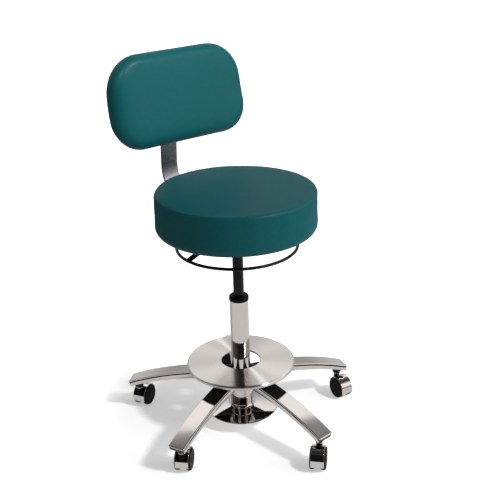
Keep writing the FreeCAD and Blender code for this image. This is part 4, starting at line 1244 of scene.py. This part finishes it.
class STOOL_OT_stage(bpy.types.Operator):
    """Pale floor, soft studio light and the camera at the photograph's angle"""

    bl_idname = "stool.stage"
    bl_label = "Stage"

    def execute(self, context):
        """Builds the floor, the lights and the camera; directions are given as the camera sees them."""
        sizes = context.scene.stool_stage
        turn = Matrix.Rotation(sizes.azimuth, 4, "Z")
        far = 30.0
        plate("floor", [(-far, -far, 0), (far, -far, 0), (far, far, 0), (-far, far, 0)],
              studio_floor(turn @ Vector((0.40, 0.0, 0.0))))
        back, wide, tall = -(sizes.distance + 1.2), 3.4, 5.2
        corners = ((-wide, back, 0.0), (wide, back, 0.0), (wide, back, tall), (-wide, back, tall))
        wall = plate("dark_wall", [turn @ Vector(corner) for corner in corners], dark_wall())
        wall.visible_camera = False
        wall.visible_diffuse = False
        wall.visible_shadow = False
        self.world(context, sizes, turn)
        self.sun("key_light", turn @ Vector((0.61, -0.375, 0.70)), sizes.key, 7)
        right = turn @ Vector((0.93, -0.14, 0.36))
        self.sun("side_light", right, sizes.side, 45).visible_glossy = False
        # Shiny surfaces show a weaker image of the same light, so that the disc isn't lost in its glare
        self.sun("side_shine", right, sizes.side * sizes.shine, 45).visible_diffuse = False
        high = turn @ Vector((-0.06, -0.85, 2.07))
        aim = high - context.scene.stool_back.middle - UP * 0.09
        self.lamp("back_light", "SPOT", high, aim, sizes.high, shadow_soft_size=0.15,
                  spot_size=math.radians(24), spot_blend=0.6)
        self.camera(context, sizes, turn)
        context.scene.view_settings.view_transform = "Standard"
        return {"FINISHED"}

    def world(self, context, sizes, turn):
        """Even light, white to the camera, and a backdrop and a glow that only shiny surfaces show."""
        world = bpy.data.worlds.new("studio")
        world.use_nodes = True
        tree = world.node_tree
        tree.nodes.clear()
        path, shown = ray_kinds(tree)
        place = add(tree, "ShaderNodeTexCoord").outputs["Generated"]
        # How far a ray points up, away from the camera and to the right
        facing = []
        for way in (Vector((0.1, 0, 1)), Vector((0, 1, 0)), Vector((0.94, -0.32, 0.05)).normalized()):
            dot = add(tree, "ShaderNodeVectorMath", {0: place, 1: tuple(turn @ way)}, operation="DOT_PRODUCT")
            facing.append(dot.outputs["Value"])
        rise, ahead, right = facing
        sky = add(tree, "ShaderNodeFloatCurve", {"Value": rise})
        curve = sky.mapping.curves[0]
        curve.points[0].location = SKY[0]
        curve.points[1].location = SKY[-1]
        for height, share in SKY[1:-1]:
            curve.points.new(height, share)
        sky.mapping.update()
        behind = add(tree, "ShaderNodeMapRange", {"Value": ahead, "From Min": 0.05, "From Max": 0.5,
                                                  "To Min": 0.22, "To Max": 1.5},
                     interpolation_type="SMOOTHSTEP")
        bright = add(tree, "ShaderNodeMath", {0: sky.outputs["Value"], 1: behind.outputs["Result"]},
                     operation="MULTIPLY")
        glow = add(tree, "ShaderNodeMapRange", {"Value": right, "From Min": 0.5, "From Max": 0.98,
                                                "To Max": 0.45}, interpolation_type="SMOOTHSTEP")
        both = add(tree, "ShaderNodeMath", {0: bright.outputs[0], 1: glow.outputs["Result"]}, operation="ADD")
        gloss = add(tree, "ShaderNodeMix", {0: path["Is Glossy Ray"], 2: sizes.ambient, 3: both.outputs[0]})
        level = add(tree, "ShaderNodeMix", {0: shown, 2: gloss.outputs[0], 3: 1.0})
        light = add(tree, "ShaderNodeBackground", {"Color": linear("#FFFFFF"), "Strength": level.outputs[0]})
        add(tree, "ShaderNodeOutputWorld", {"Surface": light.outputs[0]})
        context.scene.world = world

    def lamp(self, name, kind, place, towards, strength, **settings):
        """Lamp at a place, whose light comes from a direction."""
        light = bpy.data.lights.new(name, kind)
        light.energy = strength
        for setting, value in settings.items():
            setattr(light, setting, value)
        item = new_object(name, light)
        item.rotation_mode = "QUATERNION"
        item.rotation_quaternion = towards.to_track_quat("Z", "Y")
        item.location = place
        return item

    def sun(self, name, towards, strength, width):
        """Soft light of a width in degrees from a direction."""
        return self.lamp(name, "SUN", towards.normalized() * 4, towards, strength, angle=math.radians(width))

    def camera(self, context, sizes, turn):
        """Camera at the photograph's place, turn and lens."""
        lens = bpy.data.cameras.new("photo_camera")
        lens.lens = sizes.lens
        lens.sensor_width = 36.0
        item = new_object("photo_camera", lens)
        level = math.cos(sizes.pitch)
        ahead = Vector((math.sin(sizes.yaw) * level, math.cos(sizes.yaw) * level, math.sin(sizes.pitch)))
        right = Vector((math.cos(sizes.yaw), -math.sin(sizes.yaw), 0))
        above = right.cross(ahead)
        level_right = right * math.cos(sizes.roll) + above * math.sin(sizes.roll)
        level_above = above * math.cos(sizes.roll) - right * math.sin(sizes.roll)
        place = Vector((0, -sizes.distance, sizes.height))
        item.matrix_world = turn @ frame_at(place, level_right, level_above, -ahead)
        context.scene.camera = item


# Registration

GROUPS = {"stool_seat": SeatSizes, "stool_back": BackSizes, "stool_base": BaseSizes,
          "stool_casters": CasterSizes, "stool_finishes": Finishes, "stool_stage": StageSizes}
OPERATORS = (STOOL_OT_seat_cushion, STOOL_OT_back_cushion, STOOL_OT_legs, STOOL_OT_foot_disc, STOOL_OT_column,
             STOOL_OT_release, STOOL_OT_back_bar, STOOL_OT_fasteners, STOOL_OT_casters, STOOL_OT_stage)


class STOOL_PT_panel(bpy.types.Panel):
    """Pieces of the stool in the order in which they are made"""

    bl_idname = "STOOL_PT_panel"
    bl_label = "Medical stool"
    bl_space_type = "VIEW_3D"
    bl_region_type = "UI"
    bl_category = "Stool"

    def draw(self, context):
        """Lists the operators."""
        for operator in OPERATORS:
            self.layout.operator(operator.bl_idname)


def register():
    """Adds the property groups, the operators and the panel."""
    for name, group in GROUPS.items():
        bpy.utils.register_class(group)
        setattr(bpy.types.Scene, name, PointerProperty(type=group))
    for operator in OPERATORS:
        bpy.utils.register_class(operator)
    bpy.utils.register_class(STOOL_PT_panel)


def unregister():
    """Removes what register added."""
    bpy.utils.unregister_class(STOOL_PT_panel)
    for operator in reversed(OPERATORS):
        bpy.utils.unregister_class(operator)
    for name, group in reversed(GROUPS.items()):
        delattr(bpy.types.Scene, name)
        bpy.utils.unregister_class(group)


def main():
    """Builds the stool and its stage."""
    register()
    for operator in OPERATORS:
        family, name = operator.bl_idname.split(".")
        getattr(getattr(bpy.ops, family), name)()


if __name__ == "__main__":
    main()
